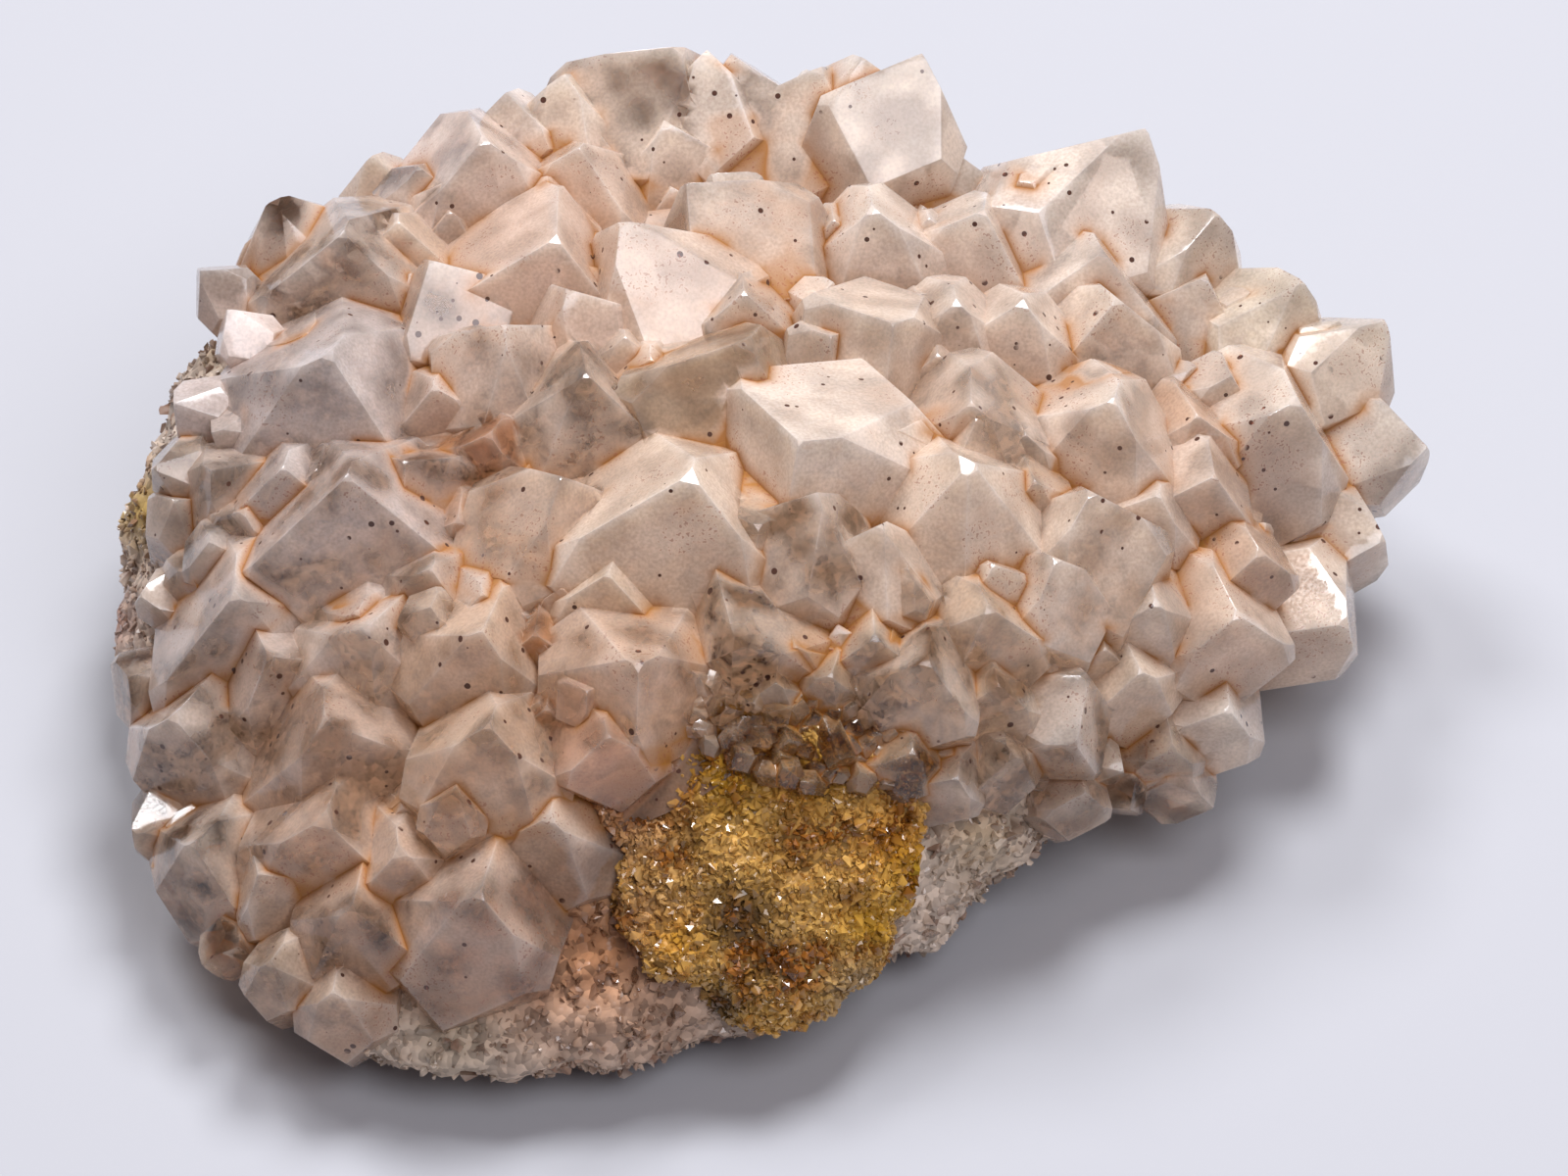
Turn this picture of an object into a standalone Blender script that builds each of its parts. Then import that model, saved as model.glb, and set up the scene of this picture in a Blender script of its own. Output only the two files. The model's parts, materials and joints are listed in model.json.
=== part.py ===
# A druse of quartz crystals on a loose, flat-bottomed piece of rock, with a patch of limonite at the front.
# Metres, +Z up. +X is the viewer's right, and the viewer stands at -Y and looks down at 45 degrees.
# The origin is the middle of the piece's box in X and Y, at the height of the surface that it rests on.

import itertools
import math
import random

import bmesh
import bpy
from mathutils import Matrix, Vector, noise
from mathutils.bvhtree import BVHTree

MM = 0.001
GAP = 0.3 * MM

# The rock: its half-widths in mm at 16 bearings, counted anticlockwise from +X, on rings from foot to crown.
BEARINGS = 16
ROCK_RINGS = (
    (-1.4, (14, 15, 13, 12, 12, 13, 15, 18, 20, 22, 26, 21, 16, 14, 12, 13)),
    (3.2, (26, 27, 22, 20.5, 20, 22, 27, 36, 37, 34.5, 39, 34, 25, 22, 19, 21)),
    (9.5, (28, 29.5, 25, 23, 22.5, 24, 30, 37.5, 35, 28, 27, 24, 20.5, 19, 17.5, 20)),
    (14.5, (24, 27, 24, 23, 23, 25, 31, 37, 30, 22, 20, 18, 17, 16, 14.5, 16)),
    (18.8, (11, 15, 18, 20.5, 21.5, 23, 31.5, 33, 20, 14, 12, 11, 10.5, 9.5, 9, 9)),
)
ROCK_BOTTOM = -2.0 * MM
ROCK_TOP = 20.2 * MM
ROCK_SHOULDER = 15  # rings above this height rise too when the rock is grown by a margin
ROCK_ROUGHNESS = 0.9 * MM
ROCK_LUMP = 5.0 * MM
ROCK_FACE_SHARE = 0.4

# Rough surfaces carry finer lumps on the coarse ones: how many times finer, and how strong.
FINE_LUMPS = 2.7
FINE_SHARE = 0.5

# The crystals root in a layer on the rock. Its rim hangs lower at the back and right than over the bare
# front and left. Its rings divide the way from the rim to the crown.
ROOT_LAYER = 1.4 * MM
ROOT_HEART = Vector((0, 0, 6)) * MM
ROOT_RINGS = (0, 0.18, 0.36, 0.55, 0.75, 0.92)
RIM_HEIGHTS = (5, 5, 5, 5, 5, 6, 15, 20, 14, 6, 6, 13, 16, 16, 10, 6)

# The limonite: a thin sugary crust on the front wall, bounded by an ellipsoid.
LIMONITE_MIDDLE = Vector((0.7, -18.4, 10.7)) * MM
LIMONITE_HALF = Vector((8.5, 7.0, 8.9)) * MM
LIMONITE_LEAN = math.radians(-16)
LIMONITE_THICKNESS = 1.5 * MM
LIMONITE_ROUGHNESS = 0.55 * MM
LIMONITE_LUMP = 1.6 * MM
LIMONITE_FACE_SHARE = 0.5
LIMONITE_WAVE = 0.28
LIMONITE_WAVE_LUMP = 0.6

# Everything is moved by this much at the end, so that the box's middle lies over the origin.
RECENTRE = Vector((-0.1, -2.35, 0)) * MM

# Places are read on a plane that faces the viewer, in mm right of and above its centre.
VIEW_CENTRE = Vector((0.8, -3.5, 15.0)) * MM
VIEW_DISTANCE = 330 * MM
VIEW_DOWN = math.radians(45)
SIGHT_START = 290 * MM
SIGHT_STEP = 0.12 * MM
SIGHT_STEPS = 700
RIGHT = Vector((1, 0, 0))
UP = Vector((0, math.sin(VIEW_DOWN), math.cos(VIEW_DOWN)))
FORWARD = Vector((0, math.cos(VIEW_DOWN), -math.sin(VIEW_DOWN)))

# A quartz point: the angle between its axis and the line square to a pyramid face, and how far out the
# three large and the three small faces stand, as shares of its width. A buried foot makes it longer.
PYRAMID_ANGLE = math.radians(51.8)
LARGE_FACE_SHARE = (0, 0.03)
SMALL_FACE_SHARE = (0.03, 0.2)
PRISM_SHARE = 0.56
SQUASH_ACROSS = (0.86, 1.08)
SQUASH_DEEP = (0.9, 1.06)
FOOT_SHARE = 0.3
FOOT = 1.5 * MM

# The listed widths and heights are of what shows between the neighbours, so the crystals are made larger.
WIDTH_SHARE = 1.22
RISE_SHARE = 1.25
# A crystal's axis lies between its lean in the view and the line square to the rock.
LEAN_SHARE = 0.6
MOST_LEAN = 0.85

# Each crystal in view: middle right, middle up, width, tip right, tip up, bearing of one large face and
# height of the tip.
CRYSTALS = (
    (-23.7, 9.9, 9.6, -23.0, 11.6, 250, 4.2),
    (-29.0, 5.3, 4.0, -29.2, 6.0, 200, 2.6),
    (-22.4, 2.8, 9.2, -22.3, 5.6, 270, 4.8),
    (-18.8, 5.0, 5.0, -19.3, 6.4, 320, 2.6),
    (-28.4, -2.0, 8.2, -28.2, -0.6, 280, 4.0),
    (-14.6, 11.2, 5.2, -14.2, 13.4, 225, 3.6),
    (-5.9, 2.9, 9.8, -4.6, 5.7, 135, 5.0),
    (2.3, 8.0, 8.2, 0.9, 7.5, 75, 5.0),
    (-2.2, 3.8, 5.0, -1.4, 3.2, 90, 3.0),
    (-10.9, 8.9, 6.6, -10.1, 10.9, 270, 3.6),
    (-12.8, 3.0, 6.0, -11.4, 5.6, 200, 3.8),
    (1.3, 1.3, 5.2, 1.7, 4.8, 240, 4.0),
    (5.3, 0.8, 4.6, 5.0, 3.2, 250, 3.4),
    (9.2, 3.6, 8.6, 9.4, 6.2, 300, 4.8),
    (-1.6, -2.0, 6.0, -2.4, -2.8, 290, 2.8),
    (10.4, 8.6, 6.4, 9.6, 9.4, 270, 3.6),
    (16.5, 8.1, 6.6, 16.8, 9.6, 250, 4.0),
    (16.2, 1.6, 6.2, 15.6, 4.8, 290, 4.0),
    (14.0, -1.1, 5.0, 13.8, 1.4, 300, 3.4),
    (16.3, -3.6, 2.4, 16.4, -3.2, 270, 1.8),
    (14.8, -6.8, 4.2, 14.9, -8.0, 250, 3.2),
    (11.2, -8.9, 3.6, 11.6, -8.6, 290, 2.2),
    (9.0, -10.0, 3.0, 8.8, -9.8, 250, 1.8),
    (25.5, 8.3, 7.4, 26.2, 9.4, 260, 4.2),
    (31.7, 7.2, 4.6, 32.8, 7.2, 300, 3.6),
    (28.8, 3.0, 5.8, 30.6, 2.4, 280, 3.8),
    (27.8, -1.6, 5.2, 28.6, -1.8, 250, 3.2),
    (22.8, -2.6, 5.6, 23.0, -1.4, 280, 3.6),
    (-26.8, -4.4, 5.8, -26.4, -3.6, 300, 3.2),
    (-21.8, -3.8, 6.2, -21.4, -2.2, 240, 3.6),
    (-23.3, -8.5, 8.4, -23.4, -6.8, 285, 4.2),
    (-15.6, -9.4, 6.4, -15.0, -7.0, 260, 4.4),
    (-16.6, -3.3, 5.8, -15.4, -2.2, 250, 4.0),
    (-30.2, -8.0, 6.4, -31.0, -6.6, 250, 3.6),
    (-29.6, -13.8, 5.4, -30.0, -13.0, 240, 3.2),
    (-23.7, -13.0, 7.4, -23.4, -11.9, 260, 3.8),
    (-19.3, -11.2, 2.8, -19.2, -10.6, 270, 1.8),
    (-20.0, -14.6, 5.4, -19.6, -13.6, 280, 3.2),
    (-16.4, -17.2, 6.4, -15.6, -15.8, 255, 4.0),
    (-22.2, -17.0, 5.6, -22.0, -16.4, 265, 3.4),
    (-26.3, -15.3, 3.8, -26.8, -14.6, 300, 2.8),
    (-26.0, -19.6, 3.0, -26.2, -19.2, 250, 2.4),
    (-22.9, -21.0, 3.6, -23.0, -20.6, 270, 2.0),
    (-8.6, -4.6, 6.4, -7.6, -4.0, 90, 4.2),
    (-9.4, -8.2, 4.4, -9.0, -7.6, 280, 3.2),
    (-12.1, -12.9, 5.0, -12.0, -11.8, 260, 2.4),
    (-16.0, 21.5, 7.4, -15.4, 22.8, 280, 4.2),
    (-22.3, 16.9, 7.6, -22.6, 18.0, 265, 3.8),
    (-24.9, 17.8, 5.0, -25.9, 19.7, 250, 3.0),
    (-8.0, 25.3, 8.0, -5.2, 27.4, 230, 4.2),
    (-13.6, 24.0, 3.8, -14.2, 25.2, 270, 3.0),
    (-13.4, 16.2, 8.6, -11.6, 17.6, 260, 3.8),
    (-5.5, 15.5, 7.0, -8.2, 18.5, 310, 4.6),
    (-1.7, 17.8, 6.8, -5.0, 20.6, 320, 4.2),
    (-2.2, 13.8, 5.4, -2.0, 15.0, 270, 3.0),
    (-3.8, 9.6, 7.6, -1.9, 12.4, 245, 4.4),
    (4.5, 13.5, 5.6, 5.6, 13.4, 210, 3.8),
    (-10.2, 13.0, 5.2, -11.0, 15.1, 300, 3.2),
    (15.5, 20.0, 7.4, 18.5, 23.3, 240, 5.0),
    (21.0, 18.2, 4.8, 22.0, 19.0, 280, 3.2),
    (15.8, 16.0, 7.0, 16.4, 17.0, 265, 3.6),
    (21.2, 14.4, 5.4, 21.4, 15.8, 250, 3.4),
    (25.5, 14.4, 4.8, 26.4, 15.6, 270, 3.2),
    (29.3, 12.0, 4.6, 30.6, 13.6, 240, 3.4),
    (-1.4, 25.0, 7.4, -2.6, 26.9, 280, 4.0),
    (1.6, 24.8, 6.4, 1.8, 26.4, 250, 3.8),
    (5.6, 25.0, 6.0, 6.9, 27.2, 250, 3.8),
    (8.4, 21.3, 6.4, 8.0, 22.6, 280, 3.6),
    (3.0, 22.2, 6.2, 3.0, 23.6, 260, 3.6),
    (-5.8, 22.2, 6.2, -6.0, 23.6, 285, 3.4),
    (-11.0, 24.6, 5.6, -11.2, 26.2, 260, 3.4),
    (-3.8, 25.6, 5.4, -4.0, 27.3, 270, 3.6),
    (3.8, 25.4, 5.2, 4.0, 27.0, 280, 3.6),
    (-10.6, 21.2, 5.4, -10.4, 22.4, 255, 3.4),
    (-20.8, 21.2, 3.4, -21.0, 22.0, 270, 2.6),
    (5.0, 17.8, 6.4, 4.6, 19.2, 275, 3.4),
    (9.6, 18.0, 5.4, 10.2, 19.2, 250, 3.2),
    (8.7, 13.6, 4.6, 8.8, 14.4, 270, 2.8),
    (7.9, 11.2, 3.4, 7.8, 11.8, 270, 1.6),
    (12.3, 13.2, 5.2, 12.2, 14.4, 260, 3.0),
    (16.8, 13.0, 6.2, 17.0, 14.6, 280, 3.2),
    (21.2, 8.0, 4.6, 21.0, 8.8, 280, 2.4),
    (21.8, 4.9, 4.6, 22.0, 5.6, 260, 2.8),
    (23.9, 1.0, 4.4, 24.2, 1.8, 280, 3.0),
    (19.2, 3.6, 4.4, 19.2, 4.6, 250, 2.4),
    (18.9, -1.6, 4.4, 19.0, -0.8, 270, 3.0),
    (18.1, -5.0, 4.4, 18.2, -4.4, 285, 2.6),
    (22.6, -7.0, 4.8, 22.8, -6.2, 260, 2.8),
    (24.4, -8.6, 2.8, 24.6, -8.4, 270, 2.0),
    (19.8, -8.6, 3.8, 19.8, -8.2, 270, 2.0),
    (10.4, -2.2, 5.8, 10.6, -1.0, 280, 3.4),
    (7.5, -5.0, 5.0, 7.2, -3.8, 255, 3.2),
    (11.0, -5.8, 4.4, 11.0, -5.0, 270, 2.6),
    (6.5, -8.8, 3.2, 6.6, -8.4, 260, 1.8),
    (15.3, -10.9, 2.8, 15.4, -10.4, 270, 1.8),
    (4.8, -3.2, 4.4, 4.6, -2.6, 270, 2.2),
    (0.6, -3.4, 2.8, 0.6, -3.0, 280, 1.8),
    (2.4, -4.9, 2.8, 2.4, -4.5, 250, 1.7),
    (-0.4, -5.2, 2.4, -0.4, -4.8, 270, 1.5),
    (-5.2, -4.6, 3.0, -5.0, -4.0, 270, 1.8),
    (-8.9, -0.4, 5.0, -8.9, 0.6, 260, 2.6),
    (-12.6, -3.0, 4.2, -12.6, -2.4, 270, 1.8),
    (-12.0, -6.8, 3.4, -12.0, -6.2, 270, 1.6),
    (-15.1, 7.0, 4.6, -15.1, 7.8, 250, 2.0),
    (-17.8, 9.6, 3.8, -17.8, 10.2, 280, 1.8),
    (-16.8, 14.0, 5.6, -18.1, 16.6, 300, 3.2),
    (-16.6, 3.0, 3.4, -16.6, 3.4, 270, 1.4),
    (-19.8, 17.6, 4.0, -19.6, 18.6, 270, 2.8),
    (-17.6, 19.8, 3.6, -17.4, 20.6, 250, 2.6),
    (-12.2, 19.4, 3.8, -12.0, 20.6, 270, 2.6),
    (-8.3, 12.0, 2.8, -8.1, 12.8, 270, 2.2),
    (-6.9, 10.9, 3.6, -6.8, 11.6, 270, 2.2),
    (-18.4, 0.2, 4.4, -18.0, 0.9, 250, 2.8),
    (-15.8, -0.9, 3.8, -15.4, -0.3, 280, 2.6),
    (-22.0, -1.6, 4.6, -21.8, -1.2, 250, 2.8),
    (-27.6, 3.3, 3.4, -27.6, 3.9, 240, 2.4),
    (-30.2, 0.4, 3.4, -30.2, 0.8, 230, 2.0),
    (-32.8, -5.2, 3.4, -33.4, -4.6, 200, 2.4),
    (12.4, 7.2, 3.4, 12.4, 7.8, 270, 2.2),
    (12.9, 4.8, 3.6, 12.8, 5.4, 280, 2.4),
)

# More crystals, scattered over the back, the ends and the gaps: their widths in mm, how near two may stand,
# how far their axes swing across and up, and their rise.
FILL_TRIES = 2600
FILL_WIDTH = (4.5, 9.5)
FILL_SPACING = 0.4
FILL_TILT = (-0.35, 1)
FILL_SWING = (0.22, 0.12)
FILL_RISE_SHARE = 0.55
FILL_RISE = 1 * MM
FILL_ABOVE_RIM = 0.2
FILL_HEART = Vector((0, 0, 10)) * MM
FILL_SEED = 14
POINT_SEED = 8
LOWEST_CRYSTAL = 0.8 * MM


def plain_material(name, colour, roughness):
    material = bpy.data.materials.new(name)
    material.use_nodes = True
    shader = material.node_tree.nodes["Principled BSDF"]
    shader.inputs["Base Color"].default_value = (*colour, 1)
    shader.inputs["Roughness"].default_value = roughness
    shader.inputs["Metallic"].default_value = 0
    return material


def add_object(name, bm, collection, material=None):
    mesh = bpy.data.meshes.new(name)
    bm.to_mesh(mesh)
    bm.free()
    thing = bpy.data.objects.new(name, mesh)
    collection.objects.link(thing)
    if material:
        mesh.materials.append(material)
    return thing


def as_guide(thing):
    thing.hide_render = True
    thing.display_type = "WIRE"
    return thing


def lofted(rings, bottom, top):
    # Closes the rings' stack with a pole at each end.
    bm = bmesh.new()
    loops = [[bm.verts.new(point) for point in ring] for ring in rings]
    for lower, upper in zip(loops, loops[1:]):
        for i in range(len(lower)):
            j = (i + 1) % len(lower)
            bm.faces.new((lower[i], lower[j], upper[j], upper[i]))
    for loop, pole, turned in ((loops[0], bottom, True), (loops[-1], top, False)):
        middle = sum((vert.co for vert in loop), Vector()) / len(loop)
        tip = bm.verts.new((middle.x, middle.y, pole))
        for i in range(len(loop)):
            j = (i + 1) % len(loop)
            corners = (loop[j], loop[i], tip) if turned else (loop[i], loop[j], tip)
            bm.faces.new(corners)
    bmesh.ops.recalc_face_normals(bm, faces=bm.faces[:])
    return bm


def ring_point(bearing, radius, height):
    turn = 2 * math.pi * bearing / BEARINGS
    return Vector((radius * math.cos(turn), radius * math.sin(turn), height))


def modified(bm, kind, **settings):
    # The mesh after one modifier.
    guide = add_object("guide", bm, bpy.context.scene.collection)
    modifier = guide.modifiers.new("form", kind)
    for name, value in settings.items():
        setattr(modifier, name, value)
    result = bmesh.new()
    result.from_object(guide, bpy.context.evaluated_depsgraph_get())
    bpy.data.objects.remove(guide)
    return result


def roughened(bm, amount, lump):
    # Breaks the surface into lumps with noise along each vertex's normal.
    bm.normal_update()
    moves = []
    for vert in bm.verts:
        coarse = noise.noise(vert.co / lump)
        fine = noise.noise(vert.co / lump * FINE_LUMPS + Vector((3.1, 5.7, 1.3)))
        moves.append(vert.normal * amount * (coarse + FINE_SHARE * fine))
    for vert, move in zip(bm.verts, moves):
        vert.co += move


def rock_form(extra):
    rings = []
    for height, radii in ROCK_RINGS:
        lift = extra if height > ROCK_SHOULDER else 0
        rings.append([ring_point(i, r * MM + extra, height * MM + lift) for i, r in enumerate(radii)])
    return modified(lofted(rings, ROCK_BOTTOM, ROCK_TOP + extra), "SUBSURF", levels=2, render_levels=2)


def broken_rock(extra):
    # The rock's rough surface, or the same one grown by a margin.
    bm = rock_form(0)
    roughened(bm, ROCK_ROUGHNESS, ROCK_LUMP)
    bm = modified(bm, "DECIMATE", ratio=ROCK_FACE_SHARE, use_collapse_triangulate=True)
    bm.normal_update()
    for vert in bm.verts:
        vert.co += vert.normal * extra
    return bm


def cut_flat(bm, point, normal):
    # Removes what lies beyond the plane and closes the cut.
    geometry = bm.verts[:] + bm.edges[:] + bm.faces[:]
    cut = bmesh.ops.bisect_plane(
        bm, geom=geometry, dist=1e-7, plane_co=point, plane_no=normal, clear_outer=True
    )
    edges = [item for item in cut["geom_cut"] if isinstance(item, bmesh.types.BMEdge)]
    if edges:
        bmesh.ops.contextual_create(bm, geom=edges)


def sight_line(right, up):
    eye = VIEW_CENTRE - FORWARD * VIEW_DISTANCE
    seen = VIEW_CENTRE + RIGHT * right * MM + UP * up * MM
    return eye, (seen - eye).normalized()


def tip_above_root(root, right, up, rise):
    # The first point of the sight line that is as near the root surface as the tip's height.
    eye, way = sight_line(right, up)
    best = None
    for step in range(SIGHT_STEPS):
        point = eye + way * (SIGHT_START + step * SIGHT_STEP)
        place, normal, _, distance = root.find_nearest(point)
        if best is None or distance < best[3]:
            best = (point, place, normal, distance)
        if distance <= rise:
            break
    return best


def quartz_point(width, length, tip, axis, face_way, rng):
    # A six-sided prism with a pyramid of three large and three small faces.
    bm = bmesh.new()
    radius = width * PRISM_SHARE
    bmesh.ops.create_cone(bm, segments=6, radius1=radius, radius2=radius, depth=length, cap_ends=True)
    squash = Matrix.Diagonal((rng.uniform(*SQUASH_ACROSS), rng.uniform(*SQUASH_DEEP), 1, 1))
    bmesh.ops.transform(bm, matrix=squash @ Matrix.Translation((0, 0, -length / 2)), verts=bm.verts[:])
    for k in range(6):
        turn = math.radians(30 + 60 * k)
        normal = Vector((math.cos(turn), math.sin(turn), 0)) * math.sin(PYRAMID_ANGLE)
        normal.z = math.cos(PYRAMID_ANGLE)
        out = rng.uniform(*(SMALL_FACE_SHARE if k % 2 else LARGE_FACE_SHARE)) * width
        cut_flat(bm, normal * out, normal)
    side = (face_way - axis * face_way.dot(axis)).normalized()
    across = axis.cross(side)
    frame = Matrix((side, across, axis)).transposed().to_4x4()
    frame.translation = tip
    turned = Matrix.Rotation(math.radians(-30), 4, "Z")
    bmesh.ops.transform(bm, matrix=frame @ turned, verts=bm.verts[:])
    return bm


def crystal_plan(root):
    # Where each crystal stands: tip, axis, the way its large face looks, width and rise.
    rng = random.Random(FILL_SEED)
    plan = []
    for right, up, width, tip_right, tip_up, bearing, rise in CRYSTALS:
        rise *= RISE_SHARE
        width *= WIDTH_SHARE
        tip, place, normal, _ = tip_above_root(root, tip_right, tip_up, rise * MM)
        lean = Vector((tip_right - right, tip_up - up)) / (0.5 * width)
        if lean.length > MOST_LEAN:
            lean *= MOST_LEAN / lean.length
        seen_axis = RIGHT * lean.x + UP * lean.y - FORWARD * math.sqrt(1 - lean.length_squared)
        axis = (seen_axis * LEAN_SHARE + normal * (1 - LEAN_SHARE)).normalized()
        turn = math.radians(bearing)
        face_way = RIGHT * math.cos(turn) + UP * math.sin(turn)
        plan.append((tip, axis, face_way, width * MM, rise * MM, place))
    spots = [(place, width) for _, _, _, width, _, place in plan]
    for _ in range(FILL_TRIES):
        turn = rng.uniform(0, 2 * math.pi)
        tilt = rng.uniform(*FILL_TILT)
        way = Vector((math.cos(turn), math.sin(turn), tilt)).normalized()
        width = rng.uniform(*FILL_WIDTH) * MM
        across, upward = FILL_SWING
        swing = Vector((rng.gauss(0, across), rng.gauss(0, across), rng.gauss(0, upward)))
        place, normal, _, _ = root.ray_cast(FILL_HEART, way)
        if place is None:
            continue
        if place.z < rim_height(place) + FILL_ABOVE_RIM * width:
            continue
        if any((place - other).length < FILL_SPACING * (width + wide) for other, wide in spots):
            continue
        axis = (normal + swing).normalized()
        rise = FILL_RISE_SHARE * width + rng.uniform(0, FILL_RISE)
        spots.append((place, width))
        plan.append((place + axis * rise, axis, swing.cross(axis) + swing, width, rise, place))
    return plan


def rim_height(place):
    # The rim's height over the bearing of a place, straight between the given ones.
    share = math.atan2(place.y, place.x) / (2 * math.pi) % 1 * BEARINGS
    low = int(share) % BEARINGS
    part = share - int(share)
    return (RIM_HEIGHTS[low] * (1 - part) + RIM_HEIGHTS[(low + 1) % BEARINGS] * part) * MM


def limonite_form(extra, guides):
    # A rough pad that follows the rock, or the same one grown by a margin.
    pad = broken_rock(LIMONITE_THICKNESS + extra)
    bmesh.ops.subdivide_edges(pad, edges=pad.edges[:], cuts=2, use_grid_fill=True)
    roughened(pad, LIMONITE_ROUGHNESS, LIMONITE_LUMP)
    bound = bmesh.new()
    bmesh.ops.create_icosphere(bound, subdivisions=3, radius=1)
    roughened(bound, LIMONITE_WAVE, LIMONITE_WAVE_LUMP)
    grown = LIMONITE_HALF + Vector((extra, extra, extra))
    place = Matrix.Translation(LIMONITE_MIDDLE) @ Matrix.Rotation(LIMONITE_LEAN, 4, "X")
    bmesh.ops.transform(bound, matrix=place @ Matrix.Diagonal((*grown, 1)), verts=bound.verts[:])
    boundary = as_guide(add_object("limonite bound", bound, guides))
    return combined(add_object("limonite pad", pad, guides), boundary, "INTERSECT")


def root_layer():
    # A closed cap over the rock, down to the rim, from which the crystals stand out.
    form = BVHTree.FromBMesh(rock_form(ROOT_LAYER))
    rings = []
    for share in ROOT_RINGS:
        ring = []
        for i in range(2 * BEARINGS):
            way = ring_point(i / 2, 1, 0)
            rim = form.ray_cast(Vector((0, 0, rim_height(way))), way)[0] - ROOT_HEART
            low = math.atan2(rim.z, rim.xy.length)
            tilt = low + share * (math.pi / 2 - low)
            outward = way * math.cos(tilt) + Vector((0, 0, math.sin(tilt)))
            ring.append(form.ray_cast(ROOT_HEART, outward)[0])
        rings.append(ring)
    crown = form.ray_cast(ROOT_HEART, Vector((0, 0, 1)))[0]
    return lofted(rings, ROOT_HEART.z, crown.z)


def combined(thing, guide, operation, solver="EXACT"):
    # The object after a Boolean, as a bmesh. The crystals overlap, so a union looks at itself too.
    modifier = thing.modifiers.new(guide.name, "BOOLEAN")
    modifier.operation = operation
    modifier.object = guide
    modifier.solver = solver
    modifier.use_self = operation == "UNION"
    bm = bmesh.new()
    bm.from_object(thing, bpy.context.evaluated_depsgraph_get())
    bpy.data.objects.remove(thing)
    return bm


def largest_body(bm):
    # Drops the crumbs and bubbles that the Booleans leave beside the main body.
    bodies = []
    left = set(bm.verts)
    while left:
        front = [left.pop()]
        body = set(front)
        while front:
            for edge in front.pop().link_edges:
                for vert in edge.verts:
                    if vert in left:
                        left.discard(vert)
                        body.add(vert)
                        front.append(vert)
        bodies.append(body)
    bodies.sort(key=len)
    bmesh.ops.delete(bm, geom=[vert for body in bodies[:-1] for vert in body], context="VERTS")
    return bm


def in_triangles(bm):
    # Splits all faces into triangles. Where two faces would share a diagonal, one is turned the other way.
    bmesh.ops.triangulate(bm, faces=bm.faces[:])
    bm.normal_update()
    for edge in [edge for edge in bm.edges if len(edge.link_loops) > 2]:
        pairs = itertools.combinations(edge.link_loops, 2)
        one, two = max(pairs, key=lambda pair: pair[0].face.normal.dot(pair[1].face.normal))
        start, end = one.vert, one.link_loop_next.vert
        corner, opposite = one.link_loop_prev.vert, two.link_loop_prev.vert
        bmesh.ops.delete(bm, geom=[one.face, two.face], context="FACES_ONLY")
        bm.faces.new((start, opposite, corner))
        bm.faces.new((opposite, end, corner))
    return bm


def main():
    for thing in list(bpy.data.objects):
        bpy.data.objects.remove(thing)
    scene = bpy.context.scene
    parts = bpy.data.collections.new("quartz cluster")
    guides = bpy.data.collections.new("cutters")
    scene.collection.children.link(parts)
    scene.collection.children.link(guides)

    root = BVHTree.FromBMesh(rock_form(ROOT_LAYER))
    rng = random.Random(POINT_SEED)
    points = bmesh.new()
    for tip, axis, face_way, width, rise, _ in crystal_plan(root):
        one = quartz_point(width, rise + width * FOOT_SHARE + FOOT, tip, axis, face_way, rng)
        cut_flat(one, Vector((0, 0, LOWEST_CRYSTAL)), Vector((0, 0, -1)))
        mesh = bpy.data.meshes.new("one point")
        one.to_mesh(mesh)
        one.free()
        points.from_mesh(mesh)
        bpy.data.meshes.remove(mesh)

    crystals = as_guide(add_object("crystal points", points, guides))
    near_rock = as_guide(add_object("rock with gap", broken_rock(GAP), guides))
    near_limonite = as_guide(add_object("limonite with gap", limonite_form(GAP, guides), guides))

    rock = broken_rock(0)
    cut_flat(rock, Vector((0, 0, 0)), Vector((0, 0, -1)))
    pad = limonite_form(0, guides)
    pad = modified(pad, "DECIMATE", ratio=LIMONITE_FACE_SHARE, use_collapse_triangulate=True)
    limonite = combined(add_object("limonite", pad, guides), near_rock, "DIFFERENCE")
    crust = combined(add_object("root layer", root_layer(), guides), crystals, "UNION")
    # The many thin wedges between crystals leave open edges with the EXACT solver here.
    for guide in (near_rock, near_limonite):
        crust = combined(add_object("grown crust", crust, guides), guide, "DIFFERENCE", "MANIFOLD")

    bodies = (
        ("matrix", rock, "grey granular rock", (0.42, 0.36, 0.31), 0.9),
        ("limonite_patch", largest_body(limonite), "yellow limonite", (0.50, 0.31, 0.05), 0.6),
        ("quartz_crust", in_triangles(largest_body(crust)), "milky quartz", (0.80, 0.66, 0.57), 0.25),
    )
    for name, bm, finish, colour, roughness in bodies:
        add_object(name, bm, parts, plain_material(finish, colour, roughness)).location = RECENTRE
    for guide in guides.objects:
        guide.location = RECENTRE


main()
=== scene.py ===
import json
import math
import random

import bmesh
import bpy
import numpy as np
from mathutils import Matrix, Quaternion, Vector, noise
from mathutils.bvhtree import BVHTree

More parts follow.
